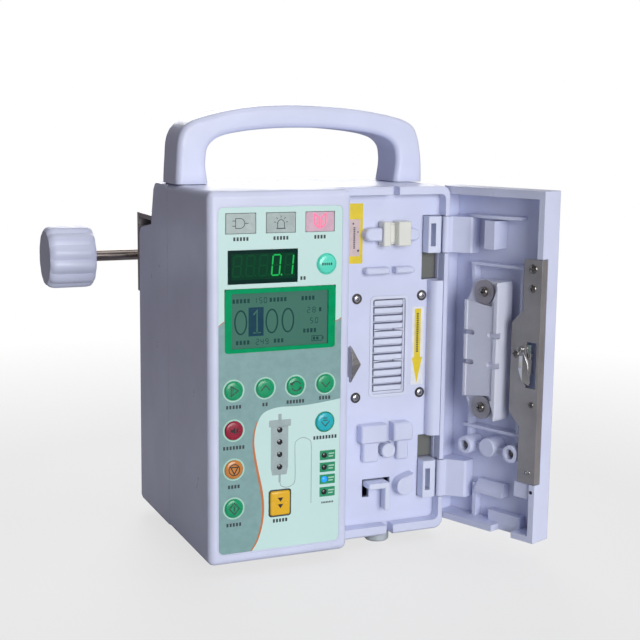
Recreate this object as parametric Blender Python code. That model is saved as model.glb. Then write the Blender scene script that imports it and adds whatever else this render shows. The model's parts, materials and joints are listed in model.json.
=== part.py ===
# Door-type infusion pump, built in metres, +Z up, front towards -Y. Dimensions below are in millimetres
# in the device's own axes: x from the control block's left side, y from its front face, z from its underside.
import math

import bmesh
import bpy
from mathutils import Vector

MM = 0.001
ORIGIN = Vector((60.714, 58.091, -5.5))  # row origin in device millimetres

# ---- driving dimensions ---------------------------------------------------------------------------------
BODY_H = 180.0
CONTROL_W = 72.7          # width of the block that carries the display and keys
BAY_W = 134.2             # right side of the tubing bay
BODY_W = 137.9            # right side of the rear half
BAY_Y = 13.3              # bay rim, set back from the front face by the door's thickness
BAY_FLOOR_Y = 19.9
STEP_Y = 28.0
SEAM_Y = 65.5
UPPER_REAR_Y = 93.0
LOWER_REAR_Y = 122.0
SHELF_Z = 154.8
WALL = 2.4
GAP = 0.3
HINGE = Vector((132.5, 14.8))          # door hinge axis, vertical
DOOR_OPEN = 111.5                      # degrees between the closed door and its stop, the stored pose
DOOR_CLOSED_REF = Vector((130.4, 13.0))  # rim line of the closed door: a = 0, b = 0
DOOR_W = 56.9
DOOR_T = 13.9
DOOR_Z = (5.0, 180.0)
DOOR_FLOOR = 11.4
TUBE_X = 103.0
FINGERS = 12
FINGER_PITCH = 4.03
FINGER_Z0 = 76.6
CAM_Y = 44.0
KEY_R = 4.7
SCREW_Y = 139.0           # pole-clamp screw axis, along x
SCREW_Z = 136.4
FOOT_H = 5.5

COLOURS = {
    "shell": ((0.72, 0.72, 0.88), 0.38, 0.0),
    "overlay": ((0.62, 0.82, 0.80), 0.35, 0.0),
    "white": ((0.82, 0.84, 0.84), 0.4, 0.0),
    "steel": ((0.42, 0.41, 0.40), 0.35, 1.0),
    "screw": ((0.5, 0.5, 0.5), 0.3, 1.0),
    "rubber": ((0.32, 0.38, 0.38), 0.8, 0.0),
    "green": ((0.08, 0.55, 0.36), 0.35, 0.0),
    "mint": ((0.25, 0.85, 0.70), 0.35, 0.0),
    "magenta": ((0.60, 0.08, 0.22), 0.35, 0.0),
    "orange": ((0.75, 0.35, 0.10), 0.35, 0.0),
    "cyan": ((0.05, 0.60, 0.65), 0.35, 0.0),
    "yellow": ((0.85, 0.60, 0.06), 0.35, 0.0),
    "display": ((0.10, 0.28, 0.22), 0.15, 0.0),
    "board": ((0.05, 0.25, 0.12), 0.5, 0.0),
    "black": ((0.03, 0.03, 0.035), 0.5, 0.0),
    "platen": ((0.62, 0.66, 0.74), 0.45, 0.0),
}

for old in list(bpy.data.objects):
    bpy.data.objects.remove(old, do_unlink=True)
parts = bpy.data.collections.new("infusion_pump")
tools = bpy.data.collections.new("cutters")
bpy.context.scene.collection.children.link(parts)
bpy.context.scene.collection.children.link(tools)
tools.hide_render = True

# The door's axes: a runs from the hinge to the free edge, b from the rim to the outer face, z up.
swing = math.radians(DOOR_OPEN)
door_axis = bpy.data.objects.new("door_hinge_axis", None)
door_axis.location = ((HINGE.x - ORIGIN.x) * MM, (HINGE.y - ORIGIN.y) * MM, -ORIGIN.z * MM)
door_axis.rotation_euler = (0.0, 0.0, math.pi + swing)
parts.objects.link(door_axis)
# In door axes the hinge lies at (a, b) = HINGE_AB.
HINGE_AB = Vector((DOOR_CLOSED_REF.x - HINGE.x, DOOR_CLOSED_REF.y - HINGE.y))


def material(name, look):
    colour, rough, metal = COLOURS[look]
    mat = bpy.data.materials.new(name)
    mat.use_nodes = True
    shader = mat.node_tree.nodes["Principled BSDF"]
    shader.inputs["Base Color"].default_value = (*colour, 1.0)
    shader.inputs["Roughness"].default_value = rough
    shader.inputs["Metallic"].default_value = metal
    return mat


def place(name, bm, look=None, pivot=(0.0, 0.0, 0.0), door=False):
    """Turns a bmesh drawn in device (or door) millimetres into an object. look None makes a tool body."""
    pivot = Vector(pivot)
    bmesh.ops.recalc_face_normals(bm, faces=bm.faces[:])
    if bm.calc_volume(signed=True) < 0.0:
        bmesh.ops.reverse_faces(bm, faces=bm.faces[:])
    for v in bm.verts:
        v.co = (v.co - pivot) * MM
    mesh = bpy.data.meshes.new(name)
    bm.to_mesh(mesh)
    bm.free()
    obj = bpy.data.objects.new(name, mesh)
    if door:
        obj.parent = door_axis
        obj.location = (pivot - Vector((HINGE_AB.x, HINGE_AB.y, 0.0))) * MM
    else:
        obj.location = (pivot - ORIGIN) * MM
    if look is None:
        tools.objects.link(obj)
        obj.hide_render = True
        obj.display_type = "WIRE"
    else:
        parts.objects.link(obj)
        mesh.materials.append(material(name, look))
    return obj


def combine(obj, tool, operation="DIFFERENCE"):
    mod = obj.modifiers.new(f"{operation.lower()}_{len(obj.modifiers)}", "BOOLEAN")
    mod.operation = operation
    mod.solver = "EXACT"
    mod.object = tool


def cut(obj, *tool_bodies):
    for tool in tool_bodies:
        combine(obj, tool, "DIFFERENCE")


def fuse(obj, *tool_bodies):
    for tool in tool_bodies:
        combine(obj, tool, "UNION")


def fillet(points, radius, steps=3):
    """Rounds the corners of a closed 2-D outline; radius is one number or one per corner."""
    count = len(points)
    radii = radius if isinstance(radius, (list, tuple)) else [radius] * count
    out = []
    for i, point in enumerate(points):
        here = Vector(point)
        if radii[i] <= 0.0:
            out.append(tuple(here))
            continue
        to_last = (Vector(points[i - 1]) - here).normalized()
        to_next = (Vector(points[(i + 1) % count]) - here).normalized()
        half = to_last.angle(to_next) / 2.0
        reach = radii[i] / math.tan(half)
        centre = here + (to_last + to_next).normalized() * (radii[i] / math.sin(half))
        start = here + to_last * reach - centre
        end = here + to_next * reach - centre
        for k in range(steps + 1):
            turn = k / steps
            ray = start.slerp(end, turn) if start.angle(end) < 3.1 else start.lerp(end, turn)
            out.append(tuple(centre + ray.normalized() * radii[i]))
    return out


def smooth_run(points, steps):
    """A smooth curve through an open run of 2-D points (Catmull-Rom)."""
    out = []
    last = len(points) - 1
    for i in range(last):
        p = [Vector(points[max(0, min(last, i + k))]) for k in (-1, 0, 1, 2)]
        for k in range(steps):
            t = k / steps
            out.append(tuple(0.5 * (
                2.0 * p[1] + (p[2] - p[0]) * t
                + (2.0 * p[0] - 5.0 * p[1] + 4.0 * p[2] - p[3]) * t * t
                + (3.0 * p[1] - p[0] - 3.0 * p[2] + p[3]) * t ** 3
            )))
    out.append(tuple(points[-1]))
    return out


def rect(u0, u1, v0, v1):
    return [(u0, v0), (u1, v0), (u1, v1), (u0, v1)]


def circle(u, v, r, steps, start=0.0):
    angles = [start + 2.0 * math.pi * k / steps for k in range(steps)]
    return [(u + r * math.cos(angle), v + r * math.sin(angle)) for angle in angles]


def teardrop(centre, radius, tip, steps=20):
    """A circle drawn out to a point."""
    centre = Vector(centre)
    reach = Vector(tip) - centre
    aim = math.atan2(reach.y, reach.x)
    half = math.acos(radius / reach.length)
    sweep = 2.0 * math.pi - 2.0 * half
    out = [tuple(tip)]
    for k in range(steps + 1):
        angle = aim + half + sweep * k / steps
        out.append((centre.x + radius * math.cos(angle), centre.y + radius * math.sin(angle)))
    return out


def swept(outline, along, lo, hi, soft=0.0, steps=2, ends="both"):
    """Extrudes a 2-D outline along x, y or z. soft rounds the edges at the chosen ends."""
    to_3d = {
        "x": lambda p, w: (w, p[0], p[1]),
        "y": lambda p, w: (p[0], w, p[1]),
        "z": lambda p, w: (p[0], p[1], w),
    }[along]
    bm = bmesh.new()
    low = [bm.verts.new(to_3d(p, lo)) for p in outline]
    high = [bm.verts.new(to_3d(p, hi)) for p in outline]
    first = bm.faces.new(low)
    last = bm.faces.new(high)
    for i in range(len(outline)):
        j = (i + 1) % len(outline)
        bm.faces.new((low[i], low[j], high[j], high[i]))
    if soft > 0.0:
        edges = []
        if ends in ("both", "lo"):
            edges += list(first.edges)
        if ends in ("both", "hi"):
            edges += list(last.edges)
        bmesh.ops.bevel(bm, geom=edges, offset=soft, segments=steps, profile=0.5, affect="EDGES")
    return bm


def inset(outline, depth):
    """Moves a clockwise outline inward by depth."""
    out = []
    count = len(outline)
    for i in range(count):
        here = Vector(outline[i])
        before = (here - Vector(outline[i - 1])).normalized()
        after = (Vector(outline[(i + 1) % count]) - here).normalized()
        side = Vector((before.y + after.y, -before.x - after.x)).normalized()
        stretch = 1.0 / max(0.5, side.dot(Vector((after.y, -after.x))))
        out.append(tuple(here + side * depth * stretch))
    return out


def rounded_sweep(outline, lo, hi, soft, steps, foot):
    """Extrudes a clockwise x-z outline along y, its long edges rounded; points at height foot stay there."""
    front = []
    for k in range(steps + 1):
        angle = 0.5 * math.pi * k / steps
        front.append((soft * (1.0 - math.cos(angle)), soft * (1.0 - math.sin(angle))))
    levels = [(lo + y, depth) for y, depth in front]
    levels += [(hi - y, depth) for y, depth in reversed(front)]
    bm = bmesh.new()
    loops = []
    for y, depth in levels:
        moved = zip(outline, inset(outline, depth))
        loops.append([bm.verts.new((u, y, foot if old[1] == foot else v)) for old, (u, v) in moved])
    for a, b in zip(loops, loops[1:]):
        for i in range(len(outline)):
            j = (i + 1) % len(outline)
            bm.faces.new((a[i], a[j], b[j], b[i]))
    bm.faces.new(loops[0])
    bm.faces.new(loops[-1])
    return bm


def block(lo, hi, soft=0.0, steps=2):
    """A box, with every edge rounded when soft is given."""
    bm = swept(rect(lo[0], hi[0], lo[1], hi[1]), "z", lo[2], hi[2])
    if soft > 0.0:
        bmesh.ops.bevel(bm, geom=bm.edges[:], offset=soft, segments=steps, profile=0.5, affect="EDGES")
    return bm


def rings(profile, along, centre, steps):
    """A turned body: profile is a list of (position along the axis, radius)."""
    bm = bmesh.new()
    loops = []
    for w, r in profile:
        ring = circle(0.0, 0.0, r, steps)
        if along == "x":
            pts = [(w, centre[0] + u, centre[1] + v) for u, v in ring]
        elif along == "y":
            pts = [(centre[0] + u, w, centre[1] + v) for u, v in ring]
        else:
            pts = [(centre[0] + u, centre[1] + v, w) for u, v in ring]
        loops.append([bm.verts.new(p) for p in pts])
    for a, b in zip(loops, loops[1:]):
        for i in range(steps):
            j = (i + 1) % steps
            bm.faces.new((a[i], a[j], b[j], b[i]))
    bm.faces.new(loops[0])
    bm.faces.new(loops[-1])
    return bm


def tool_box(name, lo, hi, door=False):
    return place(name, block(lo, hi), door=door)


# ---- front housing: control block and tubing bay --------------------------------------------------------
front = place(
    "front_housing",
    block((0.0, 0.0, 0.0), (CONTROL_W, SEAM_Y + 8.0, BODY_H), 3.4, 5),
    "shell",
)
bay_outline = fillet(rect(50.0, BAY_W, 0.0, BODY_H), [0.0, 4.8, 4.8, 0.0], 4)
fuse(front, place("bay_body", swept(bay_outline, "y", BAY_Y, SEAM_Y + 4.0, 0.8, 1, "lo")))
side_outline = fillet(rect(40.0, BODY_W, 0.25, BODY_H - 0.25), [0.0, 3.4, 3.4, 0.0], 3)
fuse(front, place("side_body", swept(side_outline, "y", STEP_Y, SEAM_Y + 4.0, 1.6, 2, "lo")))
cut(front, tool_box("front_trim", (-5.0, SEAM_Y, -5.0), (150.0, SEAM_Y + 20.0, 190.0)))
hollow = [
    (WALL, WALL),
    (CONTROL_W - WALL, WALL),
    (CONTROL_W - WALL, BAY_FLOOR_Y + 2.5),
    (BAY_W - WALL, BAY_FLOOR_Y + 2.5),
    (BAY_W - WALL, STEP_Y + WALL),
    (BODY_W - WALL, STEP_Y + WALL),
    (BODY_W - WALL, SEAM_Y + 5.0),
    (WALL, SEAM_Y + 5.0),
]
cut(front, place("front_hollow", swept(hollow, "z", WALL, BODY_H - WALL)))
# hinge pockets: walled boxes behind the bay floor
POCKETS = {"upper": (132.0, 165.0, 145.8, 165.0), "lower": (17.0, 49.9, 17.0, 37.4)}
for level, (z0, z1, n0, n1) in POCKETS.items():
    fuse(front, tool_box(f"pocket_wall_{level}", (119.6, 20.6, z0 - 2.0), (132.6, 29.6, z1 + 2.0)))
recess = fillet(rect(76.0, 131.2, 5.0, 176.0), [0.0, 2.5, 2.5, 0.0], 3)
cut(front, place("bay_recess", swept(recess, "y", BAY_Y - 3.0, BAY_FLOOR_Y)))
column = [(125.2, 20.6), (125.2, 17.0), (126.3, 15.2), (128.2, 14.2), (131.6, 13.9), (131.6, 20.6)]
fuse(front, place("bay_column", swept(column, "z", 50.2, 131.7)))
for level, (z0, z1, n0, n1) in POCKETS.items():
    cut(front, tool_box(f"pocket_{level}", (121.6, 12.0, z0), (130.8, 27.6, z1)))
    cut(front, tool_box(f"rim_notch_{level}", (130.0, 11.0, n0), (140.0, 19.7, n1)))
    pin_hole = rings([(n0 - 4.2, 0.86), (n1 + 4.2, 0.86)], "z", HINGE, 20)
    cut(front, place(f"pin_hole_{level}", pin_hole))
# tube notches in the rim
cut(front, tool_box("top_notch", (TUBE_X - 1.9, 11.0, 170.0), (TUBE_X + 1.9, BAY_FLOOR_Y - 0.2, 190.0)))
cut(front, tool_box("bottom_notch", (TUBE_X - 1.9, 11.0, -5.0), (TUBE_X + 1.9, BAY_FLOOR_Y - 0.2, 6.3)))
# guides standing on the bay floor
ON_FLOOR = BAY_FLOOR_Y + 0.6
left_ear = fillet(rect(87.2, 97.0, 152.9, 159.5), [3.2, 0.0, 0.0, 3.2], 4)
right_ear = fillet(rect(111.0, 118.2, 152.5, 158.9), [0.0, 3.1, 3.1, 0.0], 4)
guide_left = fillet(rect(88.0, 101.2, 136.0, 139.4), [1.5, 0.0, 0.0, 1.5], 2)
guide_right = fillet(rect(104.8, 115.5, 136.2, 139.4), [0.0, 1.4, 1.4, 0.0], 2)
rest_ul = fillet(rect(86.4, 101.2, 49.2, 58.6), [1.0, 0.0, 0.0, 1.0], 2)
rest_ur = fillet(rect(104.8, 116.0, 49.2, 58.8), [0.0, 1.0, 3.0, 0.0], 2)
rest_ll = fillet(rect(88.6, 97.4, 38.6, 50.0), [1.2, 1.2, 0.0, 0.0], 2)
rest_lr = fillet(rect(107.9, 114.6, 38.6, 50.0), [1.2, 1.2, 0.0, 0.0], 2)
for label, outline, top in (
    ("ear_left", left_ear, 14.2),
    ("ear_right", right_ear, 15.4),
    ("guide_left", guide_left, 14.9),
    ("guide_right", guide_right, 14.9),
    ("rest_upper_left", rest_ul, 13.9),
    ("rest_upper_right", rest_ur, 13.9),
    ("rest_lower_left", rest_ll, 16.4),
    ("rest_lower_right", rest_lr, 16.4),
):
    fuse(front, place(f"bay_{label}", swept(outline, "y", top, ON_FLOOR, 0.7, 1, "lo")))
pinch_outline = teardrop((111.9, 24.6), 4.9, (116.6, 31.2))
fuse(front, place("pinch_post", swept(pinch_outline, "y", 13.7, ON_FLOOR, 0.7, 2, "lo")))
# openings through the floor and front wall
cut(front, place("finger_window", swept(fillet(rect(93.3, 113.7, 72.4, 123.9), 2.0, 2), "y", 15.0, 30.0)))
cut(front, place("plunger_hole", swept(circle(102.7, 44.2, 4.2, 24), "y", 15.0, 30.0)))
cut(front, tool_box("hook_window", (89.8, 17.0, 24.6), (105.6, 30.0, 28.9)))
cut(front, tool_box("hook_window_side", (89.8, 17.0, 19.4), (93.6, 30.0, 26.0)))
cut(front, tool_box("sensor_window", (97.6, 18.0, 151.6), (110.8, 30.0, 161.2)))
# the front panel's recess and the openings behind it
PANEL = (4.4, 68.2, 5.3, 173.0)
LCD = (8.2, 64.3, 104.0, 134.0)
LED = (9.8, 44.4, 136.8, 152.2)
LAMPS = [(8.7, 23.2), (28.8, 43.2), (48.8, 63.3)]
LAMP_Z = (160.4, 169.5)
KEYS = {
    "clear": (59.6, 144.6, "mint"),
    "shift": (12.4, 85.9, "green"),
    "up": (28.3, 86.0, "green"),
    "select": (44.0, 86.0, "green"),
    "down": (59.6, 86.0, "green"),
    "silence": (12.5, 66.6, "magenta"),
    "stop": (12.5, 47.5, "orange"),
    "start": (12.5, 28.3, "green"),
    "page": (59.6, 66.9, "cyan"),
}
PURGE = (31.1, 41.4, 22.3, 34.5)
cut(front, place("panel_recess", swept(fillet(rect(*PANEL), 2.6, 3), "y", -1.0, 0.95)))
OPENINGS = [rect(LCD[0] - GAP, LCD[1] + GAP, LCD[2] - GAP, LCD[3] + GAP)]
OPENINGS.append(rect(LED[0] - GAP, LED[1] + GAP, LED[2] - GAP, LED[3] + GAP))
for lamp in LAMPS:
    OPENINGS.append(rect(lamp[0] - GAP, lamp[1] + GAP, LAMP_Z[0] - GAP, LAMP_Z[1] + GAP))
OPENINGS.append(rect(PURGE[0] - GAP, PURGE[1] + GAP, PURGE[2] - GAP, PURGE[3] + GAP))
for x, z, _ in KEYS.values():
    OPENINGS.append(circle(x, z, KEY_R + GAP, 20))
panel_shape = fillet(rect(PANEL[0] + GAP, PANEL[1] - GAP, PANEL[2] + GAP, PANEL[3] - GAP), 2.3, 3)
panel = place("key_panel", swept(panel_shape, "y", 0.1, 0.65), "overlay")
for number, outline in enumerate(OPENINGS):
    opening = place(f"panel_opening_{number}", swept(outline, "y", -4.0, 6.0))
    cut(front, opening)
    cut(panel, opening)

# ---- front panel electronics ----------------------------------------------------------------------------
lcd = place("lcd_module", block((LCD[0], 0.3, LCD[2]), (LCD[1], 6.6, LCD[3]), 0.4, 1), "display")
cut(lcd, tool_box("lcd_glass", (11.3, -1.0, 105.7), (60.8, 0.9, 132.0)))
place("led_digit_module", block((LED[0], 0.3, LED[2]), (LED[1], 6.6, LED[3]), 0.4, 1), "display")
lamps = place("status_lamp_bar", block((7.0, 3.6, 159.0), (65.0, 6.6, 171.0)), "white")
for number, lamp in enumerate(LAMPS):
    fuse(lamps, tool_box(f"lamp_light_{number}", (lamp[0], 0.3, LAMP_Z[0]), (lamp[1], 4.0, LAMP_Z[1])))
place("main_board", block((6.0, 9.0, 8.0), (66.0, 10.6, 171.0)), "board")
for key, (x, z, look) in KEYS.items():
    profile = [(-0.75, KEY_R - 1.0), (-0.55, KEY_R - 0.3), (-0.2, KEY_R), (6.6, KEY_R)]
    place(f"key_{key}", rings(profile, "y", (x, z), 20), look, (x, 0.0, z))
purge_shape = fillet(rect(*PURGE), 0.6, 1)
purge_pivot = ((PURGE[0] + PURGE[1]) / 2.0, 0.0, (PURGE[2] + PURGE[3]) / 2.0)
place("key_purge", swept(purge_shape, "y", -0.75, 6.6, 0.4, 1, "lo"), "yellow", purge_pivot)

# ---- rear housing ---------------------------------------------------------------------------------------
R0 = SEAM_Y + GAP
rear_outline = [
    (R0, 0.0),
    (LOWER_REAR_Y + 0.5, 0.0),
    (LOWER_REAR_Y - 1.0, SHELF_Z),
    (UPPER_REAR_Y, SHELF_Z),
    (UPPER_REAR_Y, BODY_H),
    (R0, BODY_H),
]
rear_shape = fillet(rear_outline, [0.0, 3.0, 5.0, 0.0, 6.0, 0.0], 3)
rear = place("rear_housing", swept(rear_shape, "x", 0.0, BODY_W, 2.4, 2), "shell")
rear_hollow = [
    (R0 - 5.0, WALL),
    (LOWER_REAR_Y - 1.9, WALL),
    (LOWER_REAR_Y - 3.4, SHELF_Z - WALL),
    (UPPER_REAR_Y - WALL, SHELF_Z - WALL),
    (UPPER_REAR_Y - WALL, BODY_H - WALL),
    (R0 - 5.0, BODY_H - WALL),
]
cut(rear, tool_box("rear_trim", (-5.0, R0 - 12.0, -5.0), (150.0, R0 + 2.6, 190.0)))
rim_outline = fillet(rect(0.0, BODY_W, 0.0, BODY_H), 3.4, 3)
fuse(rear, place("rear_rim", swept(rim_outline, "y", R0, R0 + 4.0)))
cut(rear, place("rear_hollow", swept(rear_hollow, "x", WALL, BODY_W - WALL)))
cut(rear, tool_box("inlet_window", (87.6, 110.0, 17.6), (116.4, 130.0, 40.4)))
for row in range(5):
    z = 62.0 + 7.0 * row
    cut(rear, place(f"vent_{row}", swept(rect(24.0, 60.0, z, z + 2.4), "y", 112.0, 130.0)))

# ---- carrying handle ------------------------------------------------------------------------------------
arch = [
    (0.7, 184.0), (1.2, 192.0), (2.4, 203.5), (7.5, 210.6), (20.0, 214.8), (39.2, 218.5),
    (64.6, 219.8), (94.2, 218.4), (117.4, 215.0), (130.2, 210.8), (134.8, 203.5), (136.9, 192.0),
    (137.3, 184.0),
]
arch_inner = [
    (121.2, 184.0), (121.9, 188.6), (122.0, 193.2), (120.9, 198.6), (117.2, 202.4), (111.6, 204.6),
    (104.4, 206.0), (94.4, 207.2), (82.0, 208.1), (68.0, 208.4), (54.4, 208.1), (42.0, 207.2),
    (33.0, 206.0), (26.2, 204.6), (20.8, 202.2), (17.4, 198.4), (16.4, 193.2), (16.3, 188.6),
    (16.9, 184.0),
]
handle_outline = smooth_run(arch, 4) + [(137.4, 180.3), (120.6, 180.3)]
handle_outline += smooth_run(arch_inner, 3) + [(17.4, 180.3), (0.6, 180.3)]
place("carry_handle", rounded_sweep(handle_outline, 51.0, 76.3, 2.8, 4, 180.3), "shell")

# ---- power and control internals ------------------------------------------------------------------------
place("power_supply", block((74.0, 70.0, 52.0), (132.0, 112.0, 124.0)), "steel")
place("battery_pack", block((8.0, 70.0, 12.0), (66.0, 92.0, 118.0), 2.0, 1), "black")
inlet = place("power_inlet", block((88.0, 104.0, 18.0), (116.0, 123.6, 40.0), 0.6, 1), "black")
inlet_shape = fillet(rect(91.5, 112.5, 21.5, 36.5), [0.5, 0.5, 3.5, 3.5], 2)
cut(inlet, place("inlet_recess", swept(inlet_shape, "y", 108.0, 130.0)))

# ---- peristaltic mechanism ------------------------------------------------------------------------------
guide_face = fillet(rect(93.7, 113.3, 72.8, 123.5), 1.8, 2)
guide = place("finger_guide", swept(guide_face, "y", 20.5, 25.0), "shell")
fuse(guide, tool_box("guide_flange", (84.0, 22.8, 63.0), (119.2, 26.0, 129.6)))
fuse(guide, tool_box("guide_lug_low", (97.0, 24.0, 63.0), (109.0, 51.0, 68.0)))
fuse(guide, tool_box("guide_lug_high", (97.0, 24.0, 126.0), (109.0, 51.0, 129.6)))
shaft_bore = rings([(60.0, 2.56), (132.0, 2.56)], "z", (TUBE_X, CAM_Y), 20)
cut(guide, place("cam_bore", shaft_bore))
for i in range(FINGERS):
    z = FINGER_Z0 + FINGER_PITCH * i
    slot = tool_box(f"finger_slot_{i + 1:02d}", (94.7, 18.0, z - 1.55), (111.7, 30.0, z + 1.55))
    cut(guide, slot)
    tip = fillet(rect(95.0, 111.4, 19.5, 37.8), [1.0, 1.0, 0.0, 0.0], 2)
    place(f"pump_finger_{i + 1:02d}", swept(tip, "z", z - 1.25, z + 1.25), "white", (TUBE_X, 30.0, z))
cam = bmesh.new()
CAM_STEPS = 16
levels = [(64.0, 2.5, 0.0, 0.0), (FINGER_Z0 - 1.3, 2.5, 0.0, 0.0)]
for i in range(FINGERS):
    z = FINGER_Z0 + FINGER_PITCH * i
    turn = 2.0 * math.pi * i / FINGERS
    ex = 1.3 * math.cos(turn)
    ey = 1.3 * math.sin(turn)
    levels.append((z - 1.3, 4.3, ex, ey))
    levels.append((z + 1.3, 4.3, ex, ey))
    levels.append((z + 1.3, 2.5, 0.0, 0.0))
    if i < FINGERS - 1:
        levels.append((z + FINGER_PITCH - 1.3, 2.5, 0.0, 0.0))
levels.append((142.4, 2.5, 0.0, 0.0))
loops = []
for z, r, ex, ey in levels:
    ring = circle(TUBE_X + ex, CAM_Y + ey, r, CAM_STEPS)
    loops.append([cam.verts.new((u, v, z)) for u, v in ring])
for a, b in zip(loops, loops[1:]):
    for i in range(CAM_STEPS):
        j = (i + 1) % CAM_STEPS
        cam.faces.new((a[i], a[j], b[j], b[i]))
cam.faces.new(loops[0])
cam.faces.new(loops[-1])
place("camshaft", cam, "steel", (TUBE_X, CAM_Y, 100.0))
place("pump_motor", block((86.0, 27.6, 142.8), (118.0, 60.4, 172.0), 1.5, 1), "black")

# ---- pieces in the tubing bay ---------------------------------------------------------------------------
sensor = place("air_bubble_sensor", block((97.9, 16.9, 151.9), (110.5, 26.4, 160.9)), "white")
fuse(sensor, place("sensor_left", block((96.4, 12.9, 150.2), (100.4, 19.6, 162.6), 0.5, 1)))
fuse(sensor, place("sensor_right", block((104.6, 12.9, 150.2), (111.9, 19.6, 162.6), 0.5, 1)))
fuse(sensor, tool_box("sensor_base", (98.0, 17.4, 150.9), (111.0, 19.6, 161.9)))
cut(front, tool_box("sensor_seat", (96.1, 12.0, 149.9), (112.2, BAY_FLOOR_Y, 162.9)))
plunger = rings([(15.4, 3.3), (15.9, 3.9), (29.0, 3.9)], "y", (102.7, 44.2), 24)
place("pressure_plunger", plunger, "shell", (102.7, 20.0, 44.2))
hook_bar = block((90.4, 12.4, 25.2), (102.3, 32.0, 28.2), 0.4, 1)
hook = place("flow_clamp_hook", hook_bar, "shell", (96.0, 20.0, 26.7))
fuse(hook, place("hook_finger", block((99.5, 12.4, 13.4), (102.3, 17.2, 27.6), 0.4, 1)))
striker_side = [
    (8.8, 89.8), (5.2, 94.2), (5.2, 98.4), (8.8, 102.6),
    (12.4, 105.0), (19.6, 105.0), (19.6, 86.6), (12.4, 86.6),
]
striker = place("latch_striker", swept(striker_side, "x", 76.2, 80.6, 1.1, 1), "steel")
cut(striker, tool_box("striker_catch", (79.3, 9.0, 80.0), (90.0, 12.3, 110.0)))
for level, (z0, z1, n0, n1) in POCKETS.items():
    cover_shape = fillet(rect(121.9, 130.1, 13.7, 27.3), [0.8, 2.2, 0.0, 0.0], 3)
    cover = place(f"hinge_cover_{level}", swept(cover_shape, "z", n0 + 0.4, n1 - 0.3), "shell")
    mid = (n0 + n1) / 2.0
    cut(cover, tool_box(f"cover_slot_{level}", (123.3, 11.0, mid - 5.8), (126.1, 20.5, mid + 5.8)))
    pin = rings([(n0 - 4.0, 0.8), (n1 + 4.0, 0.8)], "z", HINGE, 20)
    place(f"hinge_pin_{level}", pin, "steel", (HINGE.x, HINGE.y, mid))
for label, x, y in (
    ("front_left", 20.0, 25.0),
    ("front_right", 101.0, 25.0),
    ("rear_left", 20.0, 106.0),
    ("rear_right", 118.0, 106.0),
):
    foot = rings([(-FOOT_H, 5.7), (-FOOT_H + 0.8, 6.4), (-GAP, 6.4)], "z", (x, y), 24)
    place(f"foot_{label}", foot, "rubber")

# ---- pole clamp -----------------------------------------------------------------------------------------
clamp = place("clamp_bracket", block((1.0, 123.4, 118.0), (104.0, 126.0, 161.3)), "steel")
fuse(clamp, tool_box("clamp_top", (1.0, 93.5, 158.8), (104.0, 124.0, 161.3)))
arm_shape = fillet(rect(125.0, 148.5, 126.4, 146.4), [0.0, 6.0, 6.0, 0.0], 3)
fuse(clamp, place("clamp_arm", swept(arm_shape, "x", 12.0, 23.0)))
cut(clamp, place("screw_bore", rings([(5.0, 3.35), (30.0, 3.35)], "x", (SCREW_Y, SCREW_Z), 24)))
jaw_shape = fillet(rect(78.0, 104.0, 125.0, 153.0), [0.0, 0.0, 4.0, 4.0], 3)
fuse(clamp, place("clamp_jaw", swept(jaw_shape, "z", 121.0, 152.0)))
VEE_HALF = 11.0
vee = [
    (70.0, SCREW_Y - VEE_HALF), (78.0, SCREW_Y - VEE_HALF), (84.5, SCREW_Y),
    (78.0, SCREW_Y + VEE_HALF), (70.0, SCREW_Y + VEE_HALF),
]
cut(clamp, place("jaw_vee", swept(vee, "z", 110.0, 160.0)))
SCREW_END = 34.0
rod = rings([(-24.0, 3.0), (SCREW_END - 1.0, 3.0), (SCREW_END, 2.0)], "x", (SCREW_Y, SCREW_Z), 20)
place("clamp_screw", rod, "steel", (0.0, SCREW_Y, SCREW_Z))
KNOB_R = 17.0
KNOB_STEPS = 60
FLUTES = 12
FLUTE_DEPTH = 1.3
knob_bm = bmesh.new()
knob_rings = []
for x, scale, depth in (
    (-47.6, 0.86, 0.3), (-46.6, 0.94, 0.8), (-45.0, 0.985, 1.0), (-43.0, 1.0, 1.0),
    (-26.0, 1.0, 1.0), (-23.6, 0.975, 0.9), (-22.4, 0.9, 0.4),
):
    ring = []
    for k in range(KNOB_STEPS):
        angle = 2.0 * math.pi * k / KNOB_STEPS
        groove = FLUTE_DEPTH * depth * (0.5 + 0.5 * math.cos(FLUTES * angle)) ** 2
        radius = KNOB_R * scale - groove
        y = SCREW_Y + radius * math.cos(angle)
        z = SCREW_Z + radius * math.sin(angle)
        ring.append(knob_bm.verts.new((x, y, z)))
    knob_rings.append(ring)
for a, b in zip(knob_rings, knob_rings[1:]):
    for i in range(KNOB_STEPS):
        j = (i + 1) % KNOB_STEPS
        knob_bm.faces.new((a[i], a[j], b[j], b[i]))
knob_bm.faces.new(knob_rings[0])
knob_bm.faces.new(knob_rings[-1])
knob = place("clamp_knob", knob_bm, "shell", (-35.0, SCREW_Y, SCREW_Z))
cut(knob, place("knob_bore", rings([(-24.3, 3.3), (-20.0, 3.3)], "x", (SCREW_Y, SCREW_Z), 20)))
pad_profile = [(SCREW_END + GAP, 8.0), (SCREW_END + 4.0, 8.0), (SCREW_END + 5.0, 7.2)]
pad = rings(pad_profile, "x", (SCREW_Y, SCREW_Z), 24)
place("clamp_pad", pad, "rubber", (SCREW_END, SCREW_Y, SCREW_Z))

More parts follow.
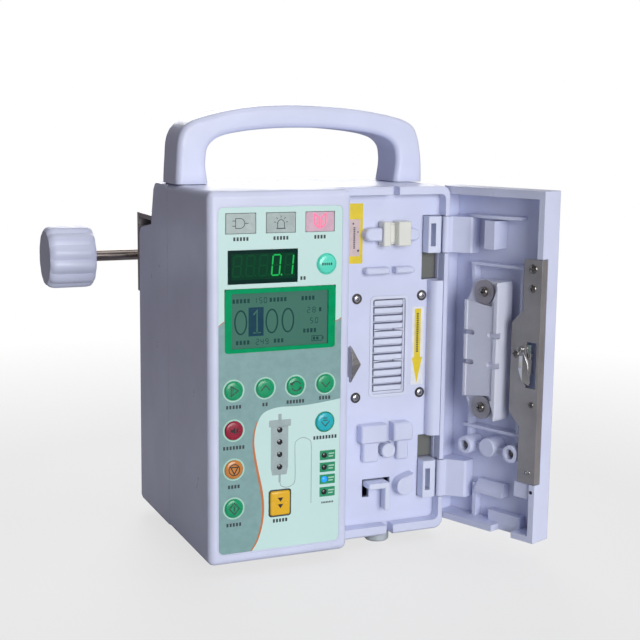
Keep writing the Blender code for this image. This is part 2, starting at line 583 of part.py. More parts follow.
# ---- door -----------------------------------------------------------------------------------------------
Z0, Z1 = DOOR_Z
door_plan = [(-7.5, 2.8), (-1.0, 0.0), (DOOR_W, 0.0), (DOOR_W, DOOR_T), (-7.5, DOOR_T)]
door_bm = swept(fillet(door_plan, [0.0, 0.0, 0.0, 1.8, 3.0], 5), "z", Z0, Z1)
edges = [e for e in door_bm.edges if min(v.co.y for v in e.verts) > DOOR_T - 0.01]
edges = [e for e in edges if abs(e.verts[0].co.z - e.verts[1].co.z) < 0.01]
bmesh.ops.bevel(door_bm, geom=edges, offset=1.2, segments=3, profile=0.5, affect="EDGES")
door = place("door_shell", door_bm, "shell", (HINGE_AB.x, HINGE_AB.y, 0.0), True)


def door_box(name, a, b, z):
    return tool_box(name, (a[0], b[0], z[0]), (a[1], b[1], z[1]), True)


cut(door, door_box("door_hollow", (-4.8, 53.5), (-5.0, DOOR_FLOOR), (Z0 + 3.2, 176.0)))
IN = DOOR_FLOOR + 0.6
for label, a, b, z in (
    ("rib_top", (9.0, 41.4), (6.0, IN), (140.4, 141.9)),
    ("rib_bottom", (6.5, 42.0), (6.0, IN), (55.6, 57.2)),
    ("rib_hinge_side", (9.0, 10.8), (6.4, IN), (50.0, 141.2)),
    ("rib_free_side", (39.6, 41.4), (6.4, IN), (50.0, 141.2)),
    ("tube_block", (20.4, 26.6), (0.9, IN), (149.6, 163.8)),
    ("boss_web", (12.0, 40.0), (5.0, IN), (44.6, 48.4)),
    ("latch_ledge", (43.5, 54.0), (1.4, IN), (26.6, 34.6)),
    ("ramp_wall", (12.6, 15.0), (7.4, IN), (8.0, 26.0)),
    ("floor_pad", (24.0, 44.0), (6.5, IN), (7.0, 14.0)),
):
    fuse(door, door_box(f"door_{label}", a, b, z))
shelf = fillet([(5.5, IN), (5.5, 7.0), (12.0, 4.2), (22.0, 3.2), (32.0, 4.2), (38.5, 7.0), (38.5, IN)], 0.0)
fuse(door, place("door_shelf", swept(shelf, "z", 164.6, 166.2), door=True))
ramp = [(5.2, 21.8), (5.2, 24.0), (8.6, 28.6), (IN, 28.6), (IN, 21.8)]
fuse(door, place("door_ramp", swept(ramp, "x", 15.5, 33.0), door=True))
BOSSES = [(11.6, 46.9), (40.4, 47.6), (25.2, 47.8)]
for number, (a, z) in enumerate(BOSSES):
    radius = (4.6, 4.6, 5.0)[number]
    tip = (0.6, 0.6, 1.6)[number]
    boss = swept(circle(a, z, radius, 20), "y", tip, IN, 0.5, 1, "lo")
    fuse(door, place(f"door_boss_{number}", boss, door=True))
for number, (a, z) in enumerate(BOSSES[:2]):
    bore = swept(circle(a, z, 2.6, 16), "y", -2.0, 8.0)
    cut(door, place(f"boss_bore_{number}", bore, door=True))
# hinge arms with their barrels
for level, (z0, z1, n0, n1) in POCKETS.items():
    lo = n0 + 0.4
    hi = n1 - 0.4
    arm = [
        (-6.4, 12.2), (-6.4, 3.4), (-4.3, 0.4), (-3.9, -1.8), (-0.4, -2.0),
        (0.2, 0.4), (8.6, 4.8), (9.4, 5.8), (9.4, 12.2),
    ]
    arm_shape = fillet(arm, [0.0, 1.6, 1.2, 0.5, 0.5, 0.8, 1.0, 0.5, 0.0], 3)
    fuse(door, place(f"hinge_arm_{level}", swept(arm_shape, "z", lo, hi), door=True))
    barrel = rings([(lo, 2.05), (hi, 2.05)], "z", HINGE_AB, 20)
    fuse(door, place(f"hinge_barrel_{level}", barrel, door=True))
    bore = rings([(lo - 2.0, 0.9), (hi + 2.0, 0.9)], "z", HINGE_AB, 20)
    cut(door, place(f"hinge_bore_{level}", bore, door=True))
# rebate for the latch plate, striker slot, bottom notch, lever recess
PLATE_T = 1.0
cut(door, door_box("plate_rebate", (53.0, 60.0), (-2.0, PLATE_T + GAP), (34.9, 147.3)))
cut(door, door_box("flange_rebate", (DOOR_W - 1.1, 60.0), (-2.0, 4.4), (34.9, 147.3)))
cut(door, door_box("striker_slot", (47.0, 55.2), (-3.0, 9.4), (83.4, 107.0)))
cut(door, door_box("bottom_cutout", (31.0, 43.6), (-2.0, 6.4), (0.0, 10.0)))
LEVER = (40.0, 54.4, 80.0, 112.0)
lever_recess = rect(LEVER[0] - 0.4, LEVER[1] + 0.4, LEVER[2] - 0.4, LEVER[3] + 0.4)
cut(door, place("lever_recess", swept(lever_recess, "y", 12.5, 20.0), door=True))

# platen, its two shoulder screws
PLATEN = (13.0, 34.2)
platen_shape = [
    (PLATEN[0] + 4.6, 64.0), (PLATEN[1] - 0.8, 64.0), (PLATEN[1], 66.0),
    (PLATEN[1], 132.0), (PLATEN[1] - 0.8, 134.0),
    (PLATEN[0] + 4.6, 134.0), (PLATEN[0], 123.6), (PLATEN[0], 74.4),
]
PIVOT_PLATEN = (23.6, 1.0, 99.0)
platen_body = swept(platen_shape, "y", -4.4, 7.2, 0.5, 1, "lo")
platen = place("pressure_platen", platen_body, "platen", PIVOT_PLATEN, True)
LAND_B = -1.4
PLATEN_SCREWS = (("upper", 24.0, 128.6), ("lower", 24.0, 69.6))
land_up = [(PLATEN[0] - 2.0, 140.0), (PLATEN[0] - 2.0, 124.0), (29.6, 121.6), (33.0, 130.0), (33.0, 140.0)]
land_low = [(PLATEN[0] - 2.0, 58.0), (PLATEN[0] - 2.0, 74.0), (29.6, 76.4), (33.0, 68.0), (33.0, 58.0)]
cut(platen, place("land_upper", swept(land_up, "y", -8.0, LAND_B), door=True))
cut(platen, place("land_lower", swept(land_low, "y", -8.0, LAND_B), door=True))
cut(platen, door_box("platen_channel", (PLATEN[0] + 2.0, PLATEN[1] - 2.6), (-8.0, -3.6), (74.0, 124.0)))
for number, z in enumerate((107.4, 92.2)):
    notch = fillet(rect(PLATEN[0] - 3.0, PLATEN[0] + 6.4, z - 1.2, z + 1.2), [0.0, 1.1, 1.1, 0.0], 2)
    cut(platen, place(f"platen_notch_{number}", swept(notch, "y", -8.0, -1.6), door=True))
    notch = fillet(rect(PLATEN[1] - 6.6, PLATEN[1] + 3.0, z - 1.4, z + 1.4), [1.3, 0.0, 0.0, 1.3], 2)
    cut(platen, place(f"platen_notch_{number + 2}", swept(notch, "y", -8.0, -1.6), door=True))
for label, a, z in PLATEN_SCREWS:
    cut(platen, place(f"platen_hole_{label}", swept(circle(a, z, 2.4, 16), "y", -8.0, 12.0), door=True))
    profile = [(-4.4, 1.4), (-3.9, 2.5), (-2.8, 2.7), (-2.7, 6.0), (-1.7, 6.0), (-1.7, 1.9), (11.1, 1.9)]
    place(f"platen_screw_{label}", rings(profile, "y", (a, z), 20), "screw", (a, 0.0, z), True)

# latch plate with its folded edge, bolt and outside release lever
plate_shape = [
    (DOOR_W - 0.2, 35.2), (DOOR_W - 0.2, 147.0), (46.2, 147.0), (46.2, 121.6), (39.8, 114.8), (39.8, 70.0),
    (46.2, 63.4), (46.2, 35.2),
]
plate = place("latch_plate", swept(plate_shape, "y", 0.0, PLATE_T), "steel", (50.0, 0.0, 91.0), True)
fuse(plate, door_box("plate_fold", (DOOR_W - 0.9, DOOR_W - 0.2), (0.4, 4.0), (35.2, 147.0)))
cut(plate, door_box("plate_slot", (48.8, 55.0), (-2.0, 3.0), (83.4, 106.2)))
bolt = swept([(43.0, 90.2), (50.7, 90.2), (50.7, 100.6), (43.0, 100.6)], "y", 1.5, 4.0, 0.5, 1, "lo")
bolt_obj = place("latch_bolt", bolt, "steel", (46.8, 2.7, 95.4), True)
fuse(bolt_obj, door_box("bolt_tail", (39.6, 44.0), (2.0, 3.6), (92.0, 98.0)))
lever_corners = [(LEVER[0], 12.8), (LEVER[1], 12.8), (LEVER[1], 15.6), (LEVER[0], 15.6)]
lever_profile = fillet(lever_corners, [1.3, 0.3, 1.2, 1.3], 3)
lever = swept(lever_profile, "z", LEVER[2], LEVER[3])
place("door_release_lever", lever, "shell", (LEVER[0] + 1.4, 14.2, 96.0), True)
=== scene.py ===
"""Looks of the infusion pump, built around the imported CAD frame.

Small pieces are drawn in millimetres in one of two spaces: DEVICE (x from the control block's left side,
y from its front face going back, z up from its underside) and DOOR (a from the hinge to the free edge,
b from the rim to the outer face, z as in DEVICE). Both are worked out from the frame.
"""
import json
import math

import bmesh
import bpy
from mathutils import Matrix, Vector


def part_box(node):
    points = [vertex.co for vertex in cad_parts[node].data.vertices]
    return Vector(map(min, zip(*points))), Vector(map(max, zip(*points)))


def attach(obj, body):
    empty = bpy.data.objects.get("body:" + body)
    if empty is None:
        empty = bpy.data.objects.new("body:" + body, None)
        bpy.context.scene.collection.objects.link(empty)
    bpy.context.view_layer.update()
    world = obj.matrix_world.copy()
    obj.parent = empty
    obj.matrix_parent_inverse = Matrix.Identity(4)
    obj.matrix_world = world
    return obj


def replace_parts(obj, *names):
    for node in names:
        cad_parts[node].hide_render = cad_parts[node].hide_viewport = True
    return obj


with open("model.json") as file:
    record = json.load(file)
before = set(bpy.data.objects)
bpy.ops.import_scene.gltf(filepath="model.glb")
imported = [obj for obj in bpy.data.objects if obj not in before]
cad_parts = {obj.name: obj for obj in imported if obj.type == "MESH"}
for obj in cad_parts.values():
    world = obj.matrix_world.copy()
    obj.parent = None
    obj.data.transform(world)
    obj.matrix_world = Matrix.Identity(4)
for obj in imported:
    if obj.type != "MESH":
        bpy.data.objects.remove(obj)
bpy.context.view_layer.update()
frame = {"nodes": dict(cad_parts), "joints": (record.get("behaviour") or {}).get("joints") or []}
nodes = frame["nodes"]
joints = {joint["name"]: joint for joint in frame["joints"]}

# ---- spaces ---------------------------------------------------------------------------------------------
MM = 0.001
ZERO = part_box("front_housing")[0]
DEVICE = Matrix.Translation(ZERO) @ Matrix.Scale(MM, 4)
HINGE = Vector(joints["door_hinge"]["pos_m"])
HINGE_AT = Vector((-2.1, -1.8))          # the hinge axis in the door's own a and b
OUTWARD = Vector(joints["platen_slide"]["axis"])
ALONG = -Vector(joints["bolt_slide"]["axis"])
door_zero = Vector((HINGE.x, HINGE.y, ZERO.z)) - (ALONG * HINGE_AT.x + OUTWARD * HINGE_AT.y) * MM
DOOR = Matrix((
    (ALONG.x * MM, OUTWARD.x * MM, 0.0, door_zero.x),
    (ALONG.y * MM, OUTWARD.y * MM, 0.0, door_zero.y),
    (0.0, 0.0, MM, door_zero.z),
    (0.0, 0.0, 0.0, 1.0),
))


# ---- materials ------------------------------------------------------------------------------------------
def srgb(red, green, blue):
    """A colour given as 0 to 255 sRGB values, as Blender's linear one."""
    out = []
    for value in (red, green, blue):
        value /= 255.0
        out.append(value / 12.92 if value <= 0.04045 else ((value + 0.055) / 1.055) ** 2.4)
    return (*out, 1.0)


class Graph:
    """A material's node tree with a Principled shader and short ways to add to it."""

    def __init__(self, name):
        self.material = bpy.data.materials.new(name)
        self.material.use_nodes = True
        self.tree = self.material.node_tree
        self.shader = self.tree.nodes["Principled BSDF"]
        self.coords = self.add("ShaderNodeTexCoord").outputs["Object"]

    def add(self, kind, **settings):
        node = self.tree.nodes.new(kind)
        for key, value in settings.items():
            setattr(node, key, value)
        return node

    def link(self, source, target):
        self.tree.links.new(source, target)

    def noise(self, scale, detail=2.0, stretch=(1.0, 1.0, 1.0), rough=0.5):
        mapping = self.add("ShaderNodeMapping")
        mapping.inputs["Scale"].default_value = stretch
        self.link(self.coords, mapping.inputs["Vector"])
        noise = self.add("ShaderNodeTexNoise")
        noise.inputs["Scale"].default_value = scale
        noise.inputs["Detail"].default_value = detail
        noise.inputs["Roughness"].default_value = rough
        self.link(mapping.outputs["Vector"], noise.inputs["Vector"])
        return noise.outputs["Fac"]

    def ramp(self, source, lo, hi, low_at=0.0, high_at=1.0):
        node = self.add("ShaderNodeMapRange")
        node.inputs["From Min"].default_value = low_at
        node.inputs["From Max"].default_value = high_at
        node.inputs["To Min"].default_value = lo
        node.inputs["To Max"].default_value = hi
        self.link(source, node.inputs["Value"])
        return node.outputs["Result"]

    def blend(self, factor, first, second, mode="MIX"):
        """Mixes two colours; each is a colour or a socket."""
        node = self.add("ShaderNodeMix", data_type="RGBA", blend_type=mode)
        self.link(factor, node.inputs["Factor"])
        for socket, value in ((node.inputs["A"], first), (node.inputs["B"], second)):
            if isinstance(value, tuple):
                socket.default_value = value
            else:
                self.link(value, socket)
        return node.outputs["Result"]

    def bump(self, *layers, edge=0.0):
        """layers are (height socket, strength, distance in metres), coarse to fine; edge rounds edges."""
        normal = None
        if edge > 0.0:
            rounding = self.add("ShaderNodeBevel", samples=4)
            rounding.inputs["Radius"].default_value = edge
            normal = rounding.outputs["Normal"]
        for height, strength, distance in layers:
            node = self.add("ShaderNodeBump")
            node.inputs["Strength"].default_value = strength
            node.inputs["Distance"].default_value = distance
            self.link(height, node.inputs["Height"])
            if normal is not None:
                self.link(normal, node.inputs["Normal"])
            normal = node.outputs["Normal"]
        self.link(normal, self.shader.inputs["Normal"])

    def set(self, **values):
        for key, value in values.items():
            self.shader.inputs[key.replace("_", " ")].default_value = value

    def paint_corner_shade(self, colour, dark, reach):
        """Painted shade: darkens a colour towards dark in corners narrower than reach, found by ambient occlusion."""
        occlusion = self.add("ShaderNodeAmbientOcclusion", samples=6, only_local=False)
        occlusion.inputs["Distance"].default_value = reach
        factor = self.ramp(occlusion.outputs["AO"], 0.55, 0.0, 0.0, 0.75)
        return self.blend(factor, colour, dark)


def moulded(name, colour, rough=0.36, grain=0.05, mottle=0.035, coat=0.0, corner_shade=True, glow=None, sub=0.0):
    """Moulded plastic: spark-eroded grain, faint flow mottling, uneven gloss, scuffs, and painted shade in corners."""
    g = Graph(name)
    base = srgb(*colour)
    shade = tuple(c * (1.0 - 2.2 * mottle) for c in base[:3]) + (1.0,)
    tint = g.blend(g.ramp(g.noise(38.0, 3.0), 0.0, 1.0, 0.3, 0.7), base, shade)
    # painted shade: the colour darkens by about half in corners narrower than 2.5 mm, found by ambient occlusion
    if corner_shade:
        corner_shade_colour = tuple(c * f for c, f in zip(base[:3], (0.50, 0.46, 0.50))) + (1.0,)
        tint = g.paint_corner_shade(tint, corner_shade_colour, 0.0025)
    g.link(tint, g.shader.inputs["Base Color"])
    smears = g.noise(90.0, 5.0, rough=0.62)
    g.link(g.ramp(smears, rough - 0.07, rough + 0.09, 0.3, 0.7), g.shader.inputs["Roughness"])
    scuffs = g.noise(420.0, 4.0, (1.0, 1.0, 7.0), 0.7)
    marks = g.ramp(scuffs, 0.0, 1.0, 0.62, 0.72)
    g.bump((marks, 0.05, 0.00005), (g.noise(3400.0, 1.5), grain, 0.0001), edge=0.0004)
    g.set(IOR=1.5, Coat_Weight=coat, Coat_Roughness=0.12)
    if sub:
        g.set(Subsurface_Weight=sub, Subsurface_Scale=0.002)
    if glow:
        g.set(Emission_Color=srgb(*glow[0]), Emission_Strength=glow[1])
    return g.material


def printed(name, colour, rough=0.42, glow=None):
    """Screen-printed ink on the film: slightly uneven tone and sheen, no depth of its own."""
    g = Graph(name)
    base = srgb(*colour)
    shade = tuple(c * 0.9 for c in base[:3]) + (1.0,)
    patches = g.ramp(g.noise(300.0, 3.0), 0.0, 1.0, 0.35, 0.65)
    g.link(g.blend(patches, base, shade), g.shader.inputs["Base Color"])
    g.link(g.ramp(g.noise(120.0, 3.0), rough - 0.06, rough + 0.06, 0.3, 0.7), g.shader.inputs["Roughness"])
    g.bump((g.noise(5200.0, 1.0), 0.04, 0.00005),)
    if glow:
        g.set(Emission_Color=srgb(*glow[0]), Emission_Strength=glow[1])
    return g.material


def brushed(name, colour, rough=0.3, stretch=(60.0, 60.0, 1.0), metal=1.0, streak=0.12):
    """Rolled or brushed metal: fine parallel streaks, handling marks and a few deeper scratches."""
    g = Graph(name)
    base = srgb(*colour)
    dark = tuple(c * 0.7 for c in base[:3]) + (1.0,)
    streaks = g.noise(70.0, 6.0, stretch, 0.7)
    clouds = g.noise(60.0, 4.0, rough=0.6)
    tint = g.blend(g.ramp(clouds, 0.0, 0.8, 0.35, 0.75), base, dark)
    # painted shade: the colour goes nearly black in corners narrower than 1.2 mm, found by ambient occlusion
    g.link(g.paint_corner_shade(tint, (0.02, 0.018, 0.016, 1.0), 0.0012), g.shader.inputs["Base Color"])
    g.link(g.ramp(streaks, rough - streak, rough + streak, 0.3, 0.7), g.shader.inputs["Roughness"])
    scratches = g.noise(260.0, 3.0, (1.0, 9.0, 1.0), 0.8)
    g.bump((g.ramp(scratches, 0.0, 1.0, 0.66, 0.74), 0.08, 0.00005), (streaks, 0.10, 0.00004), edge=0.0002)
    g.set(Metallic=metal, Anisotropic=0.35)
    return g.material


def rubbery(name, colour):
    """Moulded rubber: matt, with a pitted skin and pale bloom."""
    g = Graph(name)
    base = srgb(*colour)
    bloom = tuple(min(1.0, c * 1.35 + 0.02) for c in base[:3]) + (1.0,)
    patches = g.ramp(g.noise(160.0, 5.0), 0.0, 1.0, 0.45, 0.7)
    g.link(g.blend(patches, base, bloom), g.shader.inputs["Base Color"])
    g.link(g.ramp(g.noise(240.0, 3.0), 0.62, 0.85, 0.3, 0.7), g.shader.inputs["Roughness"])
    g.bump((g.noise(900.0, 4.0), 0.25, 0.0001), (g.noise(3000.0, 2.0), 0.15, 0.00005))
    return g.material


SHELL = moulded("shell_plastic", (220, 226, 251), 0.34)
SHELL_PALE = moulded("pale_plastic", (224, 231, 251), 0.38)
GUIDE = moulded("guide_plastic", (224, 230, 250), 0.42)
WHITE = moulded("sensor_plastic", (238, 240, 232), 0.34)
PLATEN = moulded("platen_plastic", (220, 224, 240), 0.5, grain=0.12)
BLACK = moulded("black_plastic", (34, 34, 38), 0.5, grain=0.15)
STEEL = brushed("plate_steel", (184, 179, 179), 0.42, metal=0.75)
BRIGHT = brushed("bright_steel", (205, 205, 205), 0.2, streak=0.08)
SCREW = brushed("screw_steel", (150, 146, 140), 0.26, (1.0, 1.0, 1.0))
DARK_STEEL = brushed("striker_steel", (150, 148, 148), 0.34)
CATCH = brushed("catch_steel", (196, 194, 192), 0.3, streak=0.08)
ROD = brushed("rod_steel", (150, 140, 134), 0.24, (1.0, 50.0, 50.0))
RUBBER = rubbery("foot_rubber", (176, 184, 190))
PAD_RUBBER = rubbery("pad_rubber", (60, 62, 64))
BOARD = moulded("circuit_board", (20, 84, 48), 0.45)
FILM = moulded("film_mint", (204, 236, 232), 0.4, grain=0.10, mottle=0.01)
POCKET = moulded("pocket_grey", (110, 112, 107), 0.5)
LCD_FRAME = printed("ink_lcd_frame", (4, 160, 102), 0.3)
LCD_GLASS = moulded("lcd_glass", (76, 124, 110), 0.2, grain=0.0, mottle=0.02, corner_shade=False)
LCD_DARK = printed("lcd_segments", (40, 78, 76), 0.2)
LCD_BLOCK = printed("lcd_cursor", (38, 74, 92), 0.2)
LED_GLASS = moulded("led_glass", (4, 44, 38), 0.3, grain=0.0, corner_shade=False)
LED_INNER = moulded("led_inner", (4, 62, 42), 0.3, grain=0.0, corner_shade=False)
LED_OFF = printed("led_segment_off", (4, 78, 44), 0.3)
LED_ON = printed("led_segment_lit", (20, 150, 70), 0.3, glow=((40, 220, 100), 0.35))
INK_TEAL = printed("ink_teal", (134, 172, 172))
INK_ORANGE = printed("ink_orange", (206, 122, 72))
INK_GREY = printed("ink_grey", (168, 186, 188))
INK_LAMP = printed("ink_lamp_window", (176, 192, 190), 0.25)
INK_LAMP_LIT = printed("ink_lamp_lit", (206, 180, 196), 0.25, glow=((240, 120, 160), 0.12))
INK_PINK = printed("ink_pink", (240, 110, 150), 0.3, glow=((255, 70, 120), 0.6))
INK_DARK = printed("ink_dark", (52, 66, 72))
INK_BLACK = printed("ink_black", (22, 24, 28))
INK_RING = printed("ink_ring", (176, 224, 206))
INK_GREEN = printed("ink_green", (22, 150, 104))
INK_PALE = printed("ink_pale", (178, 220, 200))
LABEL_YELLOW = printed("label_yellow", (238, 212, 44), 0.35)
LABEL_WHITE = printed("label_white", (238, 240, 244), 0.35)
LABEL_PINK = printed("label_pink", (216, 196, 196), 0.35)
LABEL_BROWN = printed("label_brown", (176, 84, 40), 0.35)
LED_BLUE = moulded("led_blue", (30, 130, 255), 0.2, grain=0.0, corner_shade=False, glow=((20, 110, 255), 1.6))
LED_DARK = moulded("led_dark", (20, 26, 32), 0.2, grain=0.0, corner_shade=False, coat=0.6)
SEAT = brushed("seat_steel", (92, 88, 86), 0.35)


def dull(material, level):
    """Lowers how strongly a surface mirrors the lamps."""
    material.node_tree.nodes["Principled BSDF"].inputs["Specular IOR Level"].default_value = level


for glass in (LED_GLASS, LED_INNER, LED_OFF, LED_ON, LCD_GLASS, LCD_DARK, LCD_BLOCK, LCD_FRAME):
    dull(glass, 0.06)
KEY_LOOKS = {
    "green": moulded("key_green_plastic", (8, 160, 106), 0.25, 0.02, corner_shade=False, coat=0.25),
    "mint": moulded("key_mint_plastic", (96, 236, 208), 0.25, 0.02, corner_shade=False, coat=0.5),
    "magenta": moulded("key_magenta_plastic", (156, 28, 58), 0.3, 0.02, corner_shade=False, coat=0.1),
    "orange": moulded("key_orange_plastic", (206, 132, 60), 0.25, 0.02, corner_shade=False, coat=0.5),
    "cyan": moulded("key_cyan_plastic", (24, 186, 200), 0.25, 0.02, corner_shade=False, coat=0.5),
    "yellow": moulded("key_yellow_plastic", (240, 186, 26), 0.25, 0.02, corner_shade=False, coat=0.5),
}

CAD_LOOKS = {
    "front_housing": SHELL, "rear_housing": SHELL, "carry_handle": SHELL, "door_shell": SHELL,
    "door_release_lever": SHELL, "clamp_knob": SHELL, "hinge_cover_upper": SHELL_PALE,
    "hinge_cover_lower": SHELL_PALE, "finger_guide": GUIDE, "pressure_plunger": SHELL_PALE,
    "flow_clamp_hook": SHELL_PALE, "key_panel": FILM, "status_lamp_bar": WHITE, "air_bubble_sensor": WHITE,
    "main_board": BOARD, "power_supply": STEEL, "camshaft": BRIGHT, "latch_striker": DARK_STEEL,
    "hinge_pin_upper": BRIGHT, "hinge_pin_lower": BRIGHT, "clamp_bracket": STEEL, "latch_plate": STEEL,
    "latch_bolt": BRIGHT, "clamp_screw": ROD, "battery_pack": BLACK, "power_inlet": BLACK,
    "pump_motor": BLACK, "clamp_pad": PAD_RUBBER, "pressure_platen": PLATEN,
    "platen_screw_upper": SCREW, "platen_screw_lower": SCREW, "lcd_module": LCD_FRAME,
    "led_digit_module": LED_GLASS,
}
CAD_LOOKS.update({name: RUBBER for name in nodes if name.startswith("foot_")})
CAD_LOOKS.update({name: SHELL_PALE for name in nodes if name.startswith("pump_finger_")})


def refine(name):
    """Dresses a CAD node with its material and smooth shading, without moving or reshaping it."""
    obj = nodes[name]
    obj.data.materials.clear()
    obj.data.materials.append(CAD_LOOKS[name])
    weld = obj.modifiers.new("weld", "WELD")
    weld.merge_threshold = 0.00001
    split = obj.modifiers.new("split", "EDGE_SPLIT")
    split.split_angle = math.radians(33.0)
    obj.data.shade_smooth()
    normals = obj.modifiers.new("normals", "WEIGHTED_NORMAL")
    normals.weight = 60


for node_name in CAD_LOOKS:
    refine(node_name)

# ---- stage, light and camera ----------------------------------------------------------------------------
def build_stage():
    floor_mesh = bpy.data.meshes.new("floor")
    bm = bmesh.new()
    bmesh.ops.create_grid(bm, x_segments=1, y_segments=1, size=6.0)
    bm.to_mesh(floor_mesh)
    bm.free()
    floor = bpy.data.objects.new("floor", floor_mesh)
    bpy.context.scene.collection.objects.link(floor)
    g = Graph("floor_paint")
    g.link(g.ramp(g.noise(3.0, 3.0), 0.5, 0.62), g.shader.inputs["Roughness"])
    g.set(Base_Color=(0.5, 0.5, 0.52, 1.0))
    distance = g.add("ShaderNodeVectorMath", operation="LENGTH")
    g.link(g.coords, distance.inputs[0])
    clear = g.add("ShaderNodeBsdfTransparent")
    white = g.add("ShaderNodeEmission")
    rays = g.add("ShaderNodeLightPath")
    lifted = g.add("ShaderNodeMixShader")
    part = g.add("ShaderNodeMath", operation="MULTIPLY")
    part.inputs[1].default_value = 0.7
    g.link(rays.outputs["Is Camera Ray"], part.inputs[0])
    g.link(part.outputs[0], lifted.inputs["Fac"])
    g.link(g.shader.outputs["BSDF"], lifted.inputs[1])
    g.link(white.outputs["Emission"], lifted.inputs[2])
    fade = g.add("ShaderNodeMixShader")
    g.link(g.ramp(distance.outputs["Value"], 0.0, 1.0, 0.22, 0.6), fade.inputs["Fac"])
    g.link(lifted.outputs["Shader"], fade.inputs[1])
    g.link(clear.outputs["BSDF"], fade.inputs[2])
    g.link(fade.outputs["Shader"], g.tree.nodes["Material Output"].inputs["Surface"])
    floor_mesh.materials.append(g.material)

    world = bpy.data.worlds.new("studio")
    bpy.context.scene.world = world
    world.use_nodes = True
    tree = world.node_tree
    background = tree.nodes["Background"]
    background.inputs["Color"].default_value = (1.0, 0.93, 1.0, 1.0)
    background.inputs["Strength"].default_value = 0.14
    backdrop = tree.nodes.new("ShaderNodeBackground")
    backdrop.inputs["Color"].default_value = (1.0, 1.0, 1.0, 1.0)
    backdrop.inputs["Strength"].default_value = 1.0
    path = tree.nodes.new("ShaderNodeLightPath")
    mix = tree.nodes.new("ShaderNodeMixShader")
    tree.links.new(path.outputs["Is Camera Ray"], mix.inputs["Fac"])
    tree.links.new(background.outputs["Background"], mix.inputs[1])
    tree.links.new(backdrop.outputs["Background"], mix.inputs[2])
    tree.links.new(mix.outputs["Shader"], tree.nodes["World Output"].inputs["Surface"])


def softbox(name, place, aim, size, power, colour=(1.0, 1.0, 1.0)):
    light = bpy.data.lights.new(name, "AREA")
    light.shape = "RECTANGLE"
    light.size = size[0]
    light.size_y = size[1]
    light.energy = power
    light.color = colour
    obj = bpy.data.objects.new(name, light)
    obj.location = place
    obj.rotation_mode = "QUATERNION"
    obj.rotation_quaternion = (Vector(aim) - Vector(place)).to_track_quat("-Z", "Y")
    bpy.context.scene.collection.objects.link(obj)


def build_camera():
    data = bpy.data.cameras.new("camera")
    data.lens = 71.73
    data.shift_x = 0.0081
    data.shift_y = -0.0036
    yaw = math.radians(23.209)
    pitch = math.radians(9.137)
    roll = math.radians(0.585)
    forward = Vector((math.sin(yaw) * math.cos(pitch), math.cos(yaw) * math.cos(pitch), -math.sin(pitch)))
    right = Vector((math.cos(yaw), -math.sin(yaw), 0.0))
    up = right.cross(forward)
    tilted_right = right * math.cos(roll) + up * math.sin(roll)
    tilted_up = up * math.cos(roll) - right * math.sin(roll)
    turn = Matrix((tilted_right, tilted_up, -forward)).transposed()
    camera = bpy.data.objects.new("camera", data)
    camera.matrix_world = Matrix.Translation((-0.24553, -0.61439, 0.22159)) @ turn.to_4x4()
    bpy.context.scene.collection.objects.link(camera)
    bpy.context.scene.camera = camera


build_stage()
softbox("front_softbox", (0.05, -1.7, 0.42), (0.02, 0.0, 0.10), (1.0, 0.9), 20.5)
softbox("top_softbox", (0.2, -0.1, 1.5), (0.0, 0.0, 0.1), (1.0, 1.0), 4.4)
softbox("right_softbox", (1.3, -0.5, 0.6), (0.05, 0.0, 0.1), (0.8, 0.8), 2.5)
softbox("back_softbox", (0.5, 1.6, 0.9), (0.0, 0.0, 0.1), (1.0, 1.0), 12.0)
build_camera()
bpy.context.scene.view_settings.view_transform = "Standard"

# ---- shapes in two dimensions ---------------------------------------------------------------------------
def rect(u0, u1, v0, v1, radius=0.0, steps=5):
    """A rectangle, with round corners when radius is given."""
    if radius <= 0.0:
        return [(u0, v0), (u1, v0), (u1, v1), (u0, v1)]
    out = []
    corners = ((u1 - radius, v1 - radius), (u0 + radius, v1 - radius), (u0 + radius, v0 + radius),
               (u1 - radius, v0 + radius))
    for quarter, (cu, cv) in enumerate(corners):
        for k in range(steps + 1):
            angle = math.pi / 2.0 * (quarter + k / steps)
            out.append((cu + radius * math.cos(angle), cv + radius * math.sin(angle)))
    return out


def arc(u, v, radius, start, end, steps=16):
    angles = [math.radians(start + (end - start) * k / steps) for k in range(steps + 1)]
    return [(u + radius * math.cos(angle), v + radius * math.sin(angle)) for angle in angles]


def disc(u, v, radius, steps=28):
    return arc(u, v, radius, 0.0, 360.0, steps)[:-1]


def smooth_run(points, steps=6):
    """A smooth curve through an open run of points (Catmull-Rom)."""
    out = []
    last = len(points) - 1
    for i in range(last):
        p = [Vector(points[max(0, min(last, i + k))]) for k in (-1, 0, 1, 2)]
        for k in range(steps):
            t = k / steps
            out.append(tuple(0.5 * (
                2.0 * p[1] + (p[2] - p[0]) * t
                + (2.0 * p[0] - 5.0 * p[1] + 4.0 * p[2] - p[3]) * t * t
                + (3.0 * p[1] - p[0] - 3.0 * p[2] + p[3]) * t ** 3
            )))
    out.append(tuple(points[-1]))
    return out


def line(points, width, closed=False):
    """A stroke of some width: an outline, or an (outer, inner) pair when closed. width may be a list."""
    count = len(points)
    widths = width if isinstance(width, list) else [width] * count
    left = []
    right = []
    for i, point in enumerate(points):
        here = Vector(point)
        before = Vector(points[(i - 1) % count]) if closed or i > 0 else None
        after = Vector(points[(i + 1) % count]) if closed or i < count - 1 else None
        into = (here - before).normalized() if before is not None else (after - here).normalized()
        away = (after - here).normalized() if after is not None else into
        normal = Vector((-(into.y + away.y), into.x + away.x)).normalized()
        reach = widths[i] / 2.0 / max(0.4, normal.dot(Vector((-into.y, into.x))))
        left.append(tuple(here + normal * reach))
        right.append(tuple(here - normal * reach))
    return (left, right) if closed else left + right[::-1]


def turned_shape(shape, degrees, centre):
    """A shape turned about a point."""
    spin = Matrix.Rotation(math.radians(degrees), 2)
    middle = Vector(centre)
    return [tuple(middle + spin @ (Vector(p) - middle)) for p in shape]


